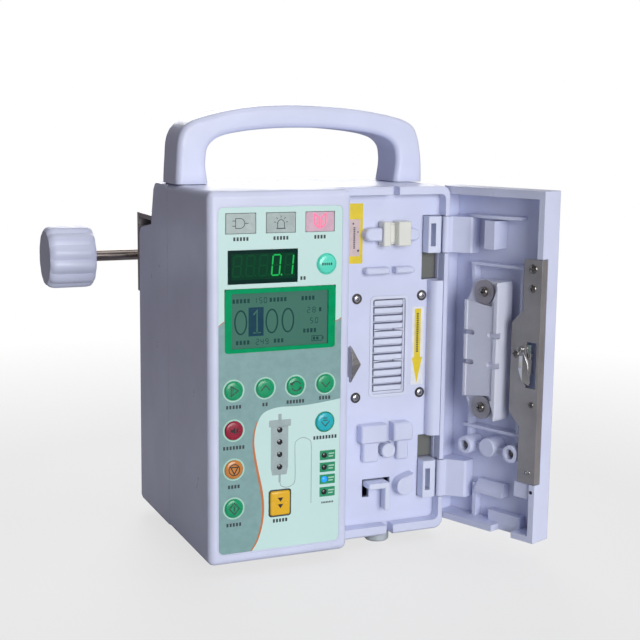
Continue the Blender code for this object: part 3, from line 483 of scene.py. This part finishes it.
def blocks(u, v, count, height, upright=False):
    """A row of plain blocks that stands where a caption would."""
    pitch = height * 0.92
    out = []
    for k in range(count):
        offset = (k - (count - 1) / 2.0) * pitch
        half = height * 0.3
        if upright:
            out.append(rect(u - height / 2.0, u + height / 2.0, v + offset - half, v + offset + half))
        else:
            out.append(rect(u + offset - half, u + offset + half, v - height / 2.0, v + height / 2.0))
    return out


SEGMENTS = {"0": "abcdef", "1": "bc", "2": "abged", "4": "fgbc", "5": "afgcd", "8": "abcdefg", "9": "abcfgd"}


def seven_segment(u, v, width, height, weight, lit, slant=0.0):
    """The segments of one digit centred on (u, v)."""
    w = width / 2.0
    h = height / 2.0
    spans = {
        "a": ((-w, h), (w, h)), "b": ((w, h), (w, 0.0)), "c": ((w, 0.0), (w, -h)), "d": ((-w, -h), (w, -h)),
        "e": ((-w, 0.0), (-w, -h)), "f": ((-w, h), (-w, 0.0)), "g": ((-w, 0.0), (w, 0.0)),
    }
    out = []
    for key in lit:
        start, end = (Vector(p) for p in spans[key])
        run = (end - start).normalized()
        side = Vector((-run.y, run.x)) * weight / 2.0
        first = start + run * weight * 0.6
        last = end - run * weight * 0.6
        shape = [first - side, last - side, last + run * weight * 0.4, last + side, first + side,
                 first - run * weight * 0.4]
        out.append([(u + p.x + p.y * slant, v + p.y) for p in shape])
    return out


# ---- building pieces ------------------------------------------------------------------------------------
def piece(name, bm, body, material, space=DEVICE, smooth=33.0):
    """Turns a bmesh drawn in millimetres into a named piece that rides on a CAD body."""
    bmesh.ops.transform(bm, matrix=space, verts=bm.verts[:])
    bmesh.ops.recalc_face_normals(bm, faces=bm.faces[:])
    mesh = bpy.data.meshes.new(name)
    bm.to_mesh(mesh)
    bm.free()
    mesh.shade_smooth()
    mesh.set_sharp_from_angle(angle=math.radians(smooth))
    mesh.materials.append(material)
    obj = bpy.data.objects.new(name, mesh)
    bpy.context.scene.collection.objects.link(obj)
    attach(obj, body)
    return obj


def loft(bm, loops):
    """Joins loops of equal length into a skin, capped at both ends."""
    made = [[bm.verts.new(p) for p in loop] for loop in loops]
    count = len(made[0])
    for first, second in zip(made, made[1:]):
        for i in range(count):
            j = (i + 1) % count
            bm.faces.new((first[i], first[j], second[j], second[i]))
    bm.faces.new(made[0])
    bm.faces.new(made[-1])


def plate(bm, shape, front, back):
    """A flat solid from front to back (positions along y, or b on the door); a pair of loops is a ring."""
    if isinstance(shape, tuple):
        outer, inner = shape
        loops = []
        for outline, depth in ((outer, front), (inner, front), (inner, back), (outer, back)):
            loops.append([bm.verts.new((u, depth, v)) for u, v in outline])
        for k in range(4):
            first = loops[k]
            second = loops[(k + 1) % 4]
            for i in range(len(first)):
                j = (i + 1) % len(first)
                bm.faces.new((first[i], first[j], second[j], second[i]))
        return
    loft(bm, [[(u, depth, v) for u, v in shape] for depth in (front, back)])


def hull(bm, points):
    """Adds the convex solid round some 3-D points."""
    made = [bm.verts.new(p) for p in points]
    bmesh.ops.convex_hull(bm, input=made)


FACE = 0.1               # front of the panel film, and how much each layer of ink stands on the last
LAYER = 0.012


def ink(name, shapes, layer, material, body="pump", face=FACE, sink=0.03, space=DEVICE):
    bm = bmesh.new()
    for shape in shapes:
        plate(bm, shape, face - LAYER * layer, face + sink)
    return piece(name, bm, body, material, space)


def revolve(bm, profile, centre, steps=40):
    """A body turned about y: profile is (radius, y) from the front's middle to the back's middle."""
    cu, cv = centre
    loops = [[(cu + r * math.cos(2 * math.pi * k / steps), y, cv + r * math.sin(2 * math.pi * k / steps))
              for k in range(steps)] for r, y in profile]
    loft(bm, loops)


def screw_head(bm, centre, radius, front, back, steps=48):
    """A pan head with a cross recess, facing -y (or -b)."""
    cu, cv = centre
    depth = radius * 0.32

    def ring(size, y):
        turns = [2 * math.pi * k / steps for k in range(steps)]
        return [(cu + size(k) * math.cos(turns[k]), y, cv + size(k) * math.sin(turns[k]))
                for k in range(steps)]

    def cross(scale):
        return lambda k: radius * scale * (0.16 + 0.42 * abs(math.cos(4 * math.pi * k / steps)) ** 5)

    loft(bm, [
        ring(lambda k: radius, back), ring(lambda k: radius, front + depth),
        ring(lambda k: radius * 0.9, front + depth * 0.4), ring(lambda k: radius * 0.72, front + depth * 0.08),
        ring(cross(1.15), front), ring(cross(1.0), front + 0.08 * radius),
        ring(cross(0.75), front + radius * 0.5),
    ])


# ---- front panel: printed film --------------------------------------------------------------------------
PANEL = (4.75, 67.85, 5.65, 172.65)
LCD = (11.3, 60.8, 105.7, 132.0)
DIVIDE = smooth_run([
    (67.8, 78.0), (57.0, 76.7), (46.4, 76.0), (38.0, 76.2), (33.4, 75.9), (28.8, 74.6), (26.0, 72.2), (23.9, 67.5),
    (22.9, 62.0), (22.9, 57.5), (23.8, 51.0), (25.2, 44.0), (26.6, 37.5), (27.6, 31.0), (27.8, 24.5),
    (26.9, 17.5), (24.7, 10.5), (21.6, 5.7),
], 4)
CREST_LEFT = smooth_run([(4.8, 116.9), (6.4, 118.3), (8.6, 119.5)], 4)
CREST_RIGHT = smooth_run([(63.9, 116.6), (66.0, 117.0), (67.8, 118.2)], 4)


def print_background():
    corner = arc(PANEL[0] + 2.2, PANEL[2] + 2.2, 2.2, 270.0, 180.0, 6)
    around_lcd = [(8.6, 104.3), (63.9, 104.3)]
    edge = (rect(PANEL[0] - 0.55, PANEL[1] + 0.55, PANEL[2] - 0.55, PANEL[3] + 0.55, 3.2),
            rect(PANEL[0] + 0.12, PANEL[1] - 0.12, PANEL[2] + 0.12, PANEL[3] - 0.12, 2.6))
    ink("panel_edge", [edge], 0, SHELL, face=-0.02, sink=0.16)
    ink("print_teal", [CREST_LEFT + around_lcd + CREST_RIGHT + DIVIDE + corner], 1, INK_TEAL)
    tail = DIVIDE[26:]
    ends = len(tail) - 1
    widths = [0.25 + 1.0 * math.sin(math.pi * min(1.0, 0.08 + 0.8 * k / ends)) for k in range(ends + 1)]
    band = [(u - 0.35, v) for u, v in tail]
    ink("print_orange_band", [line(band, widths)], 2, INK_ORANGE)
    ink("print_crest_line", [line(CREST_LEFT, 0.35), line(CREST_RIGHT, 0.35)], 2, INK_ORANGE)


CAPTIONS = (
    (16.0, 157.7, 5), (36.0, 157.7, 5), (56.0, 157.7, 4), (47.4, 138.2, 2),
    (12.4, 78.0, 5), (28.3, 78.1, 2), (44.0, 78.3, 6), (59.4, 79.0, 4),
    (12.5, 58.2, 7), (12.5, 39.0, 4), (12.5, 20.1, 5), (59.8, 59.2, 8), (36.4, 19.6, 5),
)


def print_captions():
    shapes = []
    for u, v, count in CAPTIONS:
        shapes += blocks(u, v, count, 1.75)
    shapes += blocks(61.4, 26.0, 8, 0.9)
    ink("print_captions", shapes, 3, INK_DARK)


def print_drip_chamber():
    body = [(31.4, 66.6), (31.4, 46.0), (32.2, 42.5), (39.6, 42.5), (40.4, 46.0), (40.4, 66.6)]
    shapes = [
        body,
        rect(30.4, 41.8, 66.5, 69.9, 0.5),
        rect(35.2, 36.9, 69.8, 72.8),
        rect(35.5, 36.6, 38.8, 42.6),
    ]
    ink("print_drip_chamber", shapes, 1, INK_GREY)
    tube = smooth_run([
        (36.1, 38.9), (37.0, 36.8), (39.9, 35.9), (42.9, 36.9), (44.1, 39.4), (44.1, 48.0), (44.0, 56.6),
        (45.2, 59.0), (48.1, 60.0), (51.1, 58.9), (52.5, 56.5), (52.7, 48.0), (52.7, 26.5),
    ], 5)
    ink("print_tube_line", [line(tube, 0.4)], 1, INK_GREY)
    bm = bmesh.new()
    for v in (64.9, 58.9, 52.7, 46.5):
        revolve(bm, [(0.3, -0.32), (1.0, -0.26), (1.35, -0.1), (1.45, 0.15)], (36.0, v), 24)
    piece("drop_lamps", bm, "pump", LED_DARK)


def print_alarm_lamps():
    bars = [rect(57.2, 65.4, v - 2.4, v + 2.4, 0.2) for v in (50.0, 43.9, 37.8, 31.4)]
    ink("print_alarm_bars", bars, 2, INK_GREEN)
    marks = []
    for v in (50.0, 43.9, 37.8, 31.4):
        marks += [rect(61.9, 64.9, v + 0.35, v + 1.0), rect(61.9, 64.3, v - 1.0, v - 0.4)]
    ink("print_alarm_marks", marks, 3, INK_PALE)
    for number, v in enumerate((50.0, 43.9, 37.8, 31.4)):
        bm = bmesh.new()
        revolve(bm, [(0.3, -0.42), (0.95, -0.34), (1.35, -0.12), (1.5, 0.15)], (59.6, v), 28)
        piece(f"alarm_lamp_{number + 1}", bm, "pump", LED_BLUE if number == 2 else LED_DARK)


def print_status_lamps():
    windows = [rect(u - 7.25, u + 7.25, 160.3, 169.6, 0.7) for u in (16.0, 36.0, 56.0)]
    ink("lamp_windows", windows[:2], 2, INK_LAMP)
    ink("lamp_window_lit", windows[2:], 2, INK_LAMP_LIT)
    plug = [
        line(arc(15.6, 165.0, 2.3, 90.0, -90.0, 12) + [(13.4, 162.7), (13.4, 167.3)], 0.34, True),
        line([(11.8, 166.2), (13.4, 166.2)], 0.34),
        line([(11.8, 163.8), (13.4, 163.8)], 0.34),
        line([(17.9, 165.0), (19.8, 165.0)], 0.34),
    ]
    beacon = [
        line([(34.3, 162.4), (34.3, 164.6)] + arc(36.0, 164.6, 1.7, 180.0, 0.0, 12) + [(37.7, 162.4)], 0.34),
        line([(33.7, 162.2), (38.3, 162.2)], 0.5),
    ]
    for degrees in (10.0, 50.0, 90.0, 130.0, 170.0):
        angle = math.radians(degrees)
        ray = [(36.0 + r * math.cos(angle), 164.7 + r * math.sin(angle)) for r in (2.5, 3.6)]
        beacon.append(line(ray, 0.3))
    ink("lamp_symbols", plug + beacon, 3, INK_DARK)
    leaves = []
    for side in (-1.0, 1.0):
        leaf = [
            (56.0 + side * 0.5, 162.0), (56.0 + side * 0.5, 166.8),
            (56.0 + side * 2.9, 168.6), (56.0 + side * 2.9, 163.8),
        ]
        leaves.append(line(leaf, 0.55, True))
        leaves.append(rect(56.0 + side * 1.5 - 0.25, 56.0 + side * 1.5 + 0.25, 164.4, 165.4))
    ink("lamp_door_symbol", leaves, 3, INK_PINK)


def build_led_window():
    ink("led_window", [rect(9.5, 44.7, 136.6, 152.4, 1.2)], 2, LED_GLASS)
    ink("led_field", [rect(11.2, 43.2, 138.4, 150.8, 0.6)], 3, LED_INNER)
    unlit = []
    lit = []
    for u, lit_keys in zip((14.2, 20.7, 27.2, 33.7, 40.2), ("", "", "", "abcdef", "bc")):
        for key in "abcdefg":
            target = lit if key in lit_keys else unlit
            target += seven_segment(u, 145.0, 3.9, 9.6, 0.75, key, 0.09)
        target = lit if u == 33.7 else unlit
        target.append(disc(u + 2.7, 140.3, 0.45, 12))
    ink("led_segments_off", unlit, 4, LED_OFF)
    ink("led_segments_lit", lit, 4, LED_ON)


def build_lcd():
    outer = rect(8.0, 64.5, 103.8, 134.2, 1.6)
    inner = rect(LCD[0], LCD[1], LCD[2], LCD[3], 0.5)
    ink("lcd_frame", [(outer, inner)], 2, LCD_FRAME)
    screen = rect(LCD[0] - 0.2, LCD[1] + 0.2, LCD[2] - 0.2, LCD[3] + 0.2)
    ink("lcd_screen", [screen], 0, LCD_GLASS, face=0.82, sink=0.06)
    marks = []
    for u in (16.2, 31.9, 40.1):
        marks.append(line([(u + 2.9 * math.cos(t), 118.2 + 5.6 * math.sin(t))
                           for t in (2 * math.pi * k / 28 for k in range(28))], 0.75, True))
    rows = (("5", 26.2, 128.4), ("0", 28.6, 128.4), ("1", 23.4, 128.4), ("2", 24.6, 108.6), ("4", 27.0, 108.6),
            ("9", 29.4, 108.6), ("8", 53.6, 122.6), ("2", 50.8, 122.6), ("5", 52.4, 117.4), ("0", 55.0, 117.4))
    for char, u, v in rows:
        marks += seven_segment(u, v, 1.3, 2.5, 0.34, SEGMENTS[char])
    for u, v, count in ((16.4, 128.4, 5), (35.0, 128.4, 5), (50.4, 128.4, 4), (17.2, 108.6, 4), (35.4, 108.6, 3),
                        (56.8, 122.6, 1), (51.4, 112.6, 4)):
        marks += blocks(u, v, count, 2.0)
    marks.append(line(rect(52.6, 58.0, 107.4, 109.8), 0.3, True))
    marks += [rect(58.2, 58.8, 108.1, 109.1), rect(53.2, 54.4, 107.9, 109.3), rect(54.9, 56.1, 107.9, 109.3)]
    ink("lcd_marks", marks, 1, LCD_DARK, face=0.82)
    ink("lcd_cursor", [rect(20.1, 27.7, 111.4, 125.2)], 1, LCD_BLOCK, face=0.82)
    digit = line([(22.6, 121.6), (24.4, 123.6), (24.4, 113.0)], 0.75)
    ink("lcd_cursor_digit", [digit, line([(22.4, 113.0), (26.4, 113.0)], 0.6)], 2, LCD_GLASS, face=0.82)


print_background()
print_captions()
print_drip_chamber()
print_alarm_lamps()
print_status_lamps()
build_led_window()
build_lcd()

# ---- keys -----------------------------------------------------------------------------------------------
KEY_R = 4.7
KEYS = {
    "clear": (59.6, 144.6, "mint"), "shift": (12.4, 85.9, "green"), "up": (28.3, 86.0, "green"),
    "select": (44.0, 86.0, "green"), "down": (59.6, 86.0, "green"), "silence": (12.5, 66.6, "magenta"),
    "stop": (12.5, 47.5, "orange"), "start": (12.5, 28.3, "green"), "page": (59.6, 66.9, "cyan"),
}
KEY_TOP = -0.75


def key_symbols(u, v):
    """The marks on each key, as flat shapes round its centre."""
    wide = 0.5
    spin = []
    for turn in (0.0, 180.0):
        spin.append(line(arc(u, v, 2.3, turn + 20.0, turn + 140.0, 12), wide))
        heading = math.radians(turn + 160)
        tip = Vector((u, v)) + Vector((math.cos(heading), math.sin(heading))) * 2.3
        head = [(tip.x, tip.y - 0.7), (tip.x + 1.0, tip.y + 0.9), (tip.x - 1.0, tip.y + 0.9)]
        spin.append(turned_shape(head, turn + 8.0, tip))
    speaker = [
        (u - 1.9, v - 0.6), (u - 0.8, v - 0.6), (u + 0.4, v - 1.8),
        (u + 0.4, v + 1.8), (u - 0.8, v + 0.6), (u - 1.9, v + 0.6),
    ]
    return {
        "clear": blocks(u, v, 5, 1.2),
        "shift": [line([(u - 1.5, v - 2.4), (u + 2.1, v), (u - 1.5, v + 2.4)], wide, True),
                  line([(u - 0.6, v - 2.0), (u - 0.6, v + 2.0)], 0.35)],
        "up": [line([(u - 2.3, v - 1.0), (u, v + 1.5), (u + 2.3, v - 1.0)], wide)],
        "down": [line([(u - 2.3, v + 1.0), (u, v - 1.5), (u + 2.3, v + 1.0)], wide)],
        "select": spin,
        "silence": [
            speaker,
            line([(u + 0.9, v - 1.1), (u + 2.2, v + 1.1)], 0.42),
            line([(u + 0.9, v + 1.1), (u + 2.2, v - 1.1)], 0.42),
        ],
        "stop": [
            line(disc(u, v, 2.7), 0.42, True),
            line([(u, v - 2.0), (u + 1.8, v + 1.3), (u - 1.8, v + 1.3)], wide, True),
        ],
        "start": [line([(u, v - 2.8), (u + 2.5, v), (u, v + 2.8), (u - 2.5, v)], wide, True),
                  line([(u, v - 1.3), (u, v + 1.3)], wide)],
        "page": [line([(u - 2.2, v + 0.4), (u, v - 2.0), (u + 2.2, v + 0.4)], wide), line([(u - 1.3, v + 0.9), (u + 1.3, v + 0.9)], 0.42),
                 line([(u - 1.0, v + 2.0), (u + 1.0, v + 2.0)], 0.42)],
    }


def build_keys():
    profile = [(0.3, -0.75), (1.6, -0.745), (2.8, -0.71), (3.6, -0.62), (4.1, -0.48),
               (4.45, -0.24), (4.65, 0.02), (KEY_R, 0.3),
               (KEY_R, 6.6)]
    rings = []
    for name, (u, v, look) in KEYS.items():
        bm = bmesh.new()
        revolve(bm, profile, (u, v), 48)
        cap = piece(f"keycap_{name}", bm, f"key_{name}", KEY_LOOKS[look], smooth=50.0)
        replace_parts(cap, f"key_{name}")
        dark = name in ("clear", "shift", "up", "down", "select", "start", "page")
        colour = INK_DARK if dark else INK_BLACK
        ink(f"key_symbol_{name}", key_symbols(u, v)[name], 2, colour, f"key_{name}", face=KEY_TOP, sink=0.12)
        if name == "clear":
            ink("print_clear_ring", [line(disc(u, v, 5.0), 0.5, True)], 2, KEY_LOOKS["mint"])
        elif name == "page":
            ink("print_page_ring", [line(disc(u, v, 5.0), 0.4, True)], 2, INK_GREEN)
        else:
            rings.append(line(disc(u, v, 5.15), 0.7, True))
    ink("print_key_rings", rings, 2, INK_RING)
    u0, u1, v0, v1 = 31.1, 41.4, 22.3, 34.5
    bm = bmesh.new()
    levels = ((1.3, -0.75, 0.3), (0.6, -0.72, 0.8), (0.2, -0.5, 1.1),
              (0.02, -0.2, 1.2), (0.0, 0.3, 1.2), (0.0, 6.6, 1.2))
    loft(bm, [[(p, y, q) for p, q in rect(u0 + inset, u1 - inset, v0 + inset, v1 - inset, radius)]
              for inset, y, radius in levels])
    cap = piece("keycap_purge", bm, "key_purge", KEY_LOOKS["yellow"], smooth=50.0)
    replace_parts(cap, "key_purge")
    u = (u0 + u1) / 2.0
    arrows = [[(u - 1.5, v), (u, v - 2.1), (u + 1.5, v)] for v in (31.3, 28.0)]
    ink("key_symbol_purge", arrows, 2, INK_BLACK, "key_purge", face=KEY_TOP, sink=0.12)
    border = (rect(u0 - 0.75, u1 + 0.75, v0 - 0.75, v1 + 0.75, 1.5),
              rect(u0 - 0.1, u1 + 0.1, v0 - 0.1, v1 + 0.1, 1.0))
    ink("print_purge_border", [border], 2, INK_DARK)


build_keys()

# ---- tubing bay -----------------------------------------------------------------------------------------
BAY_FLOOR = 19.9
BAY_SCREWS = ((85.2, 123.6), (121.9, 123.8), (85.2, 72.6), (121.9, 72.8))


def build_bay_details():
    for number, (u, v) in enumerate(BAY_SCREWS):
        bm = bmesh.new()
        plate(bm, line(disc(u, v, 2.3, 32), 0.75, True), BAY_FLOOR - 0.3, BAY_FLOOR + 0.2)
        piece(f"bay_screw_seat_{number + 1}", bm, "pump", SEAT)
        bm = bmesh.new()
        screw_head(bm, (u, v), 1.85, BAY_FLOOR - 0.8, BAY_FLOOR + 0.2)
        piece(f"bay_screw_{number + 1}", bm, "pump", BRIGHT)
    label = BAY_FLOOR - 0.06
    ink("bay_label", [rect(78.0, 87.9, 141.5, 171.7, 0.3)], 1, LABEL_YELLOW, face=label, sink=0.1)
    ink("bay_label_field", [rect(78.8, 86.4, 145.3, 163.8)], 2, LABEL_PINK, face=label)
    ink("bay_label_stripe", [rect(78.3, 80.0, 145.3, 163.8)], 3, LABEL_BROWN, face=label)
    marks = blocks(83.2, 154.5, 12, 1.0, True)
    marks += [disc(85.4, 148.0, 0.6, 12), disc(85.2, 157.4, 0.4, 12), disc(82.6, 161.6, 0.5, 12)]
    ink("bay_label_marks", marks, 3, INK_DARK, face=label)
    ink("arrow_label", [rect(116.7, 123.6, 77.0, 118.0, 0.3)], 1, LABEL_WHITE, face=label, sink=0.1)
    arrow = [(118.3, 116.9), (118.3, 91.4), (117.0, 91.4), (120.0, 77.8), (123.0, 91.4), (121.8, 91.4), (121.8, 116.9)]
    ink("arrow_label_arrow", [arrow], 2, LABEL_YELLOW, face=label)
    ink("arrow_label_marks", blocks(120.0, 104.4, 18, 1.25, True), 3, INK_DARK, face=label)


def build_striker():
    """The folded steel catch on the bay's left wall."""
    bm = bmesh.new()
    hull(bm, [(76.3, 6.4, 102.2), (76.3, 4.6, 92.8), (76.3, 6.4, 83.8), (81.4, 5.8, 92.8),
              (76.3, 8.7, 102.2), (76.3, 8.7, 83.8), (81.2, 8.7, 92.8)])
    hull(bm, [(x, y, z) for x in (76.3, 77.2) for y in (8.6, 19.5) for z in (86.0, 101.0)])
    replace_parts(piece("striker_catch", bm, "pump", CATCH, smooth=20.0), "latch_striker")


FINGER_PITCH = 4.03
FINGER_FIRST = 76.6


def build_finger_guide():
    """The guide with its ribs set back between the fingers, a raised border and two pairs of tube clips."""
    window = rect(94.7, 111.7, 74.9, 122.6)
    bm = bmesh.new()
    plate(bm, (rect(93.7, 113.3, 72.8, 123.5, 1.8), rect(94.7, 111.7, 74.9, 122.6, 0.6)), 20.5, 23.4)
    plate(bm, (rect(84.0, 119.2, 63.0, 129.6), window), 22.9, 26.0)
    for number in range(11):
        z = FINGER_FIRST + FINGER_PITCH * (number + 0.5)
        plate(bm, rect(94.5, 111.9, z - 0.42, z + 0.42), 21.9, 25.6)
    for z in (65.5, 127.8):
        hull(bm, [(x, y, z + h) for x in (97.2, 108.8) for y in (25.0, 36.0) for h in (-1.6, 1.6)])
    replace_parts(piece("finger_guide_face", bm, "pump", GUIDE), "finger_guide")
    bm = bmesh.new()
    plate(bm, (rect(92.7, 114.3, 71.8, 124.5, 2.6), rect(94.3, 112.7, 73.5, 122.8, 1.3)), 19.55, 20.2)
    piece("finger_guide_border", bm, "pump", GUIDE)
    bm = bmesh.new()
    for step in (3.5, 7.5):
        z = FINGER_FIRST + FINGER_PITCH * step
        for near, far in ((94.8, 99.6), (111.6, 106.8)):
            hull(bm, [(near, y, z + h) for y in (19.3, 22.0) for h in (-0.44, 0.44)]
                 + [(far, y, z + h) for y in (20.9, 22.0) for h in (-0.3, 0.3)])
    piece("tube_clips", bm, "pump", GUIDE)


def build_hinge_backs():
    for level, low, high in (("upper", 132.3, 145.4), ("lower", 37.8, 49.6)):
        bm = bmesh.new()
        plate(bm, rect(121.9, 130.5, low, high), 22.5, 23.2)
        piece(f"hinge_back_{level}", bm, "pump", POCKET)


build_bay_details()
build_striker()
build_finger_guide()
build_hinge_backs()

# ---- door -----------------------------------------------------------------------------------------------
PLATE_SCREWS = ((51.3, 142.3), (51.3, 132.7), (42.4, 99.4), (52.8, 75.2), (50.9, 40.5), (53.1, 40.9))


def wire(points, radius, sides=10):
    """A round wire through 3-D points."""
    loops = []
    for i, point in enumerate(points):
        here = Vector(point)
        ahead = Vector(points[min(i + 1, len(points) - 1)]) - Vector(points[max(i - 1, 0)])
        ahead.normalize()
        across = ahead.cross(Vector((0.13, 0.31, 0.94))).normalized()
        lift = ahead.cross(across)
        loops.append([tuple(here + (across * math.cos(2 * math.pi * k / sides) + lift * math.sin(2 * math.pi * k / sides)) * radius)
                      for k in range(sides)])
    bm = bmesh.new()
    loft(bm, loops)
    return bm


def build_door_details():
    for number, (a, z) in enumerate(PLATE_SCREWS):
        radius = (2.5, 2.2, 2.2, 1.6, 0.95, 0.95)[number]
        bm = bmesh.new()
        screw_head(bm, (a, z), radius, -0.55, 0.1)
        piece(f"plate_screw_{number + 1}", bm, "door", BRIGHT if number > 3 else SCREW, DOOR)
    for level, a, z in (("upper", 24.0, 128.6), ("lower", 24.0, 69.6)):
        bm = bmesh.new()
        screw_head(bm, (a, z), 2.55, -4.38, -2.6)
        cap = piece(f"platen_screw_head_{level}", bm, "door", SCREW, DOOR)
        bm = bmesh.new()
        plate(bm, (disc(a, z, 6.0, 48), disc(a, z, 2.4, 48)), -2.7, -1.72)
        piece(f"platen_washer_{level}", bm, "door", STEEL, DOOR)
        bm = bmesh.new()
        revolve(bm, [(1.9, -2.6), (1.9, 11.0)], (a, z), 24)
        piece(f"platen_stud_{level}", bm, "door", SCREW, DOOR)
        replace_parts(cap, f"platen_screw_{level}")
    coil = []
    turns = 5
    for k in range(turns * 16 + 1):
        angle = 2.0 * math.pi * k / 16
        coil.append((46.6 + 1.25 * math.cos(angle), -0.4 - 0.42 * k / 16, 102.4 + 1.25 * math.sin(angle)))
    leg = [(49.0, -2.3, 101.0), (51.2, -1.9, 96.0), (51.9, -1.4, 90.0), (52.0, -0.3, 86.0)]
    piece("latch_spring", wire(coil + leg, 0.26), "door", BRIGHT, DOOR, 60.0)
    bm = bmesh.new()
    fold = [(48.3, -1.9, 99.6), (48.3, -1.9, 86.4)]
    hull(bm, fold + [(45.2, -0.5, 98.8), (44.9, -0.5, 92.0)] + [(48.3, -1.5, 99.6), (48.3, -1.5, 86.4)]
         + [(45.2, -0.15, 98.8), (44.9, -0.15, 92.0)])
    hull(bm, fold + [(52.4, 0.4, 97.8), (51.0, 0.4, 84.4)] + [(48.3, -1.5, 99.6), (48.3, -1.5, 86.4)]
         + [(52.2, 0.7, 97.8), (50.8, 0.7, 84.4)])
    hull(bm, [(49.0 + p, q, r) for p in (0.0, 2.6) for q in (0.3, 0.8) for r in (100.6, 104.8)])
    piece("latch_clip", bm, "door", BRIGHT, DOOR, 20.0)
    bm = bmesh.new()
    plate(bm, disc(54.8, 31.0, 0.9, 20), -0.06, 0.3)
    piece("rim_mark", bm, "door", BLACK, DOOR)
    for number, (a, z) in enumerate(((11.6, 46.9), (40.4, 47.6))):
        bm = bmesh.new()
        screw_head(bm, (a, z), 2.3, 3.4, 7.9)
        piece(f"boss_screw_{number + 1}", bm, "door", SCREW, DOOR)


build_door_details()

# ---- back -----------------------------------------------------------------------------------------------
def build_back_details():
    """Six case screws in sunk seats, and a plain plate where such devices carry their rating plate."""
    places = ((10.0, 9.0), (128.0, 9.0), (10.0, 76.0), (128.0, 76.0), (8.0, 168.0), (130.0, 168.0))
    for number, (u, v) in enumerate(places):
        face = 93.0 if v > 155.0 else 122.5 - 1.5 * v / 154.8
        bm = bmesh.new()
        plate(bm, line(disc(u, v, 3.0, 32), 0.9, True), face - 0.2, face + 0.22)
        piece(f"case_screw_seat_{number + 1}", bm, "pump", SEAT)
        bm = bmesh.new()
        screw_head(bm, (-u, v), 2.5, -face - 0.12, -face + 0.3)
        bmesh.ops.transform(bm, matrix=Matrix.Rotation(math.pi, 4, "Z"), verts=bm.verts[:])
        piece(f"case_screw_{number + 1}", bm, "pump", SCREW)
    bm = bmesh.new()
    plate(bm, rect(22.0, 72.0, 14.0, 44.0, 1.5), 122.0, 122.55)
    piece("rating_plate", bm, "pump", LABEL_WHITE)


build_back_details()
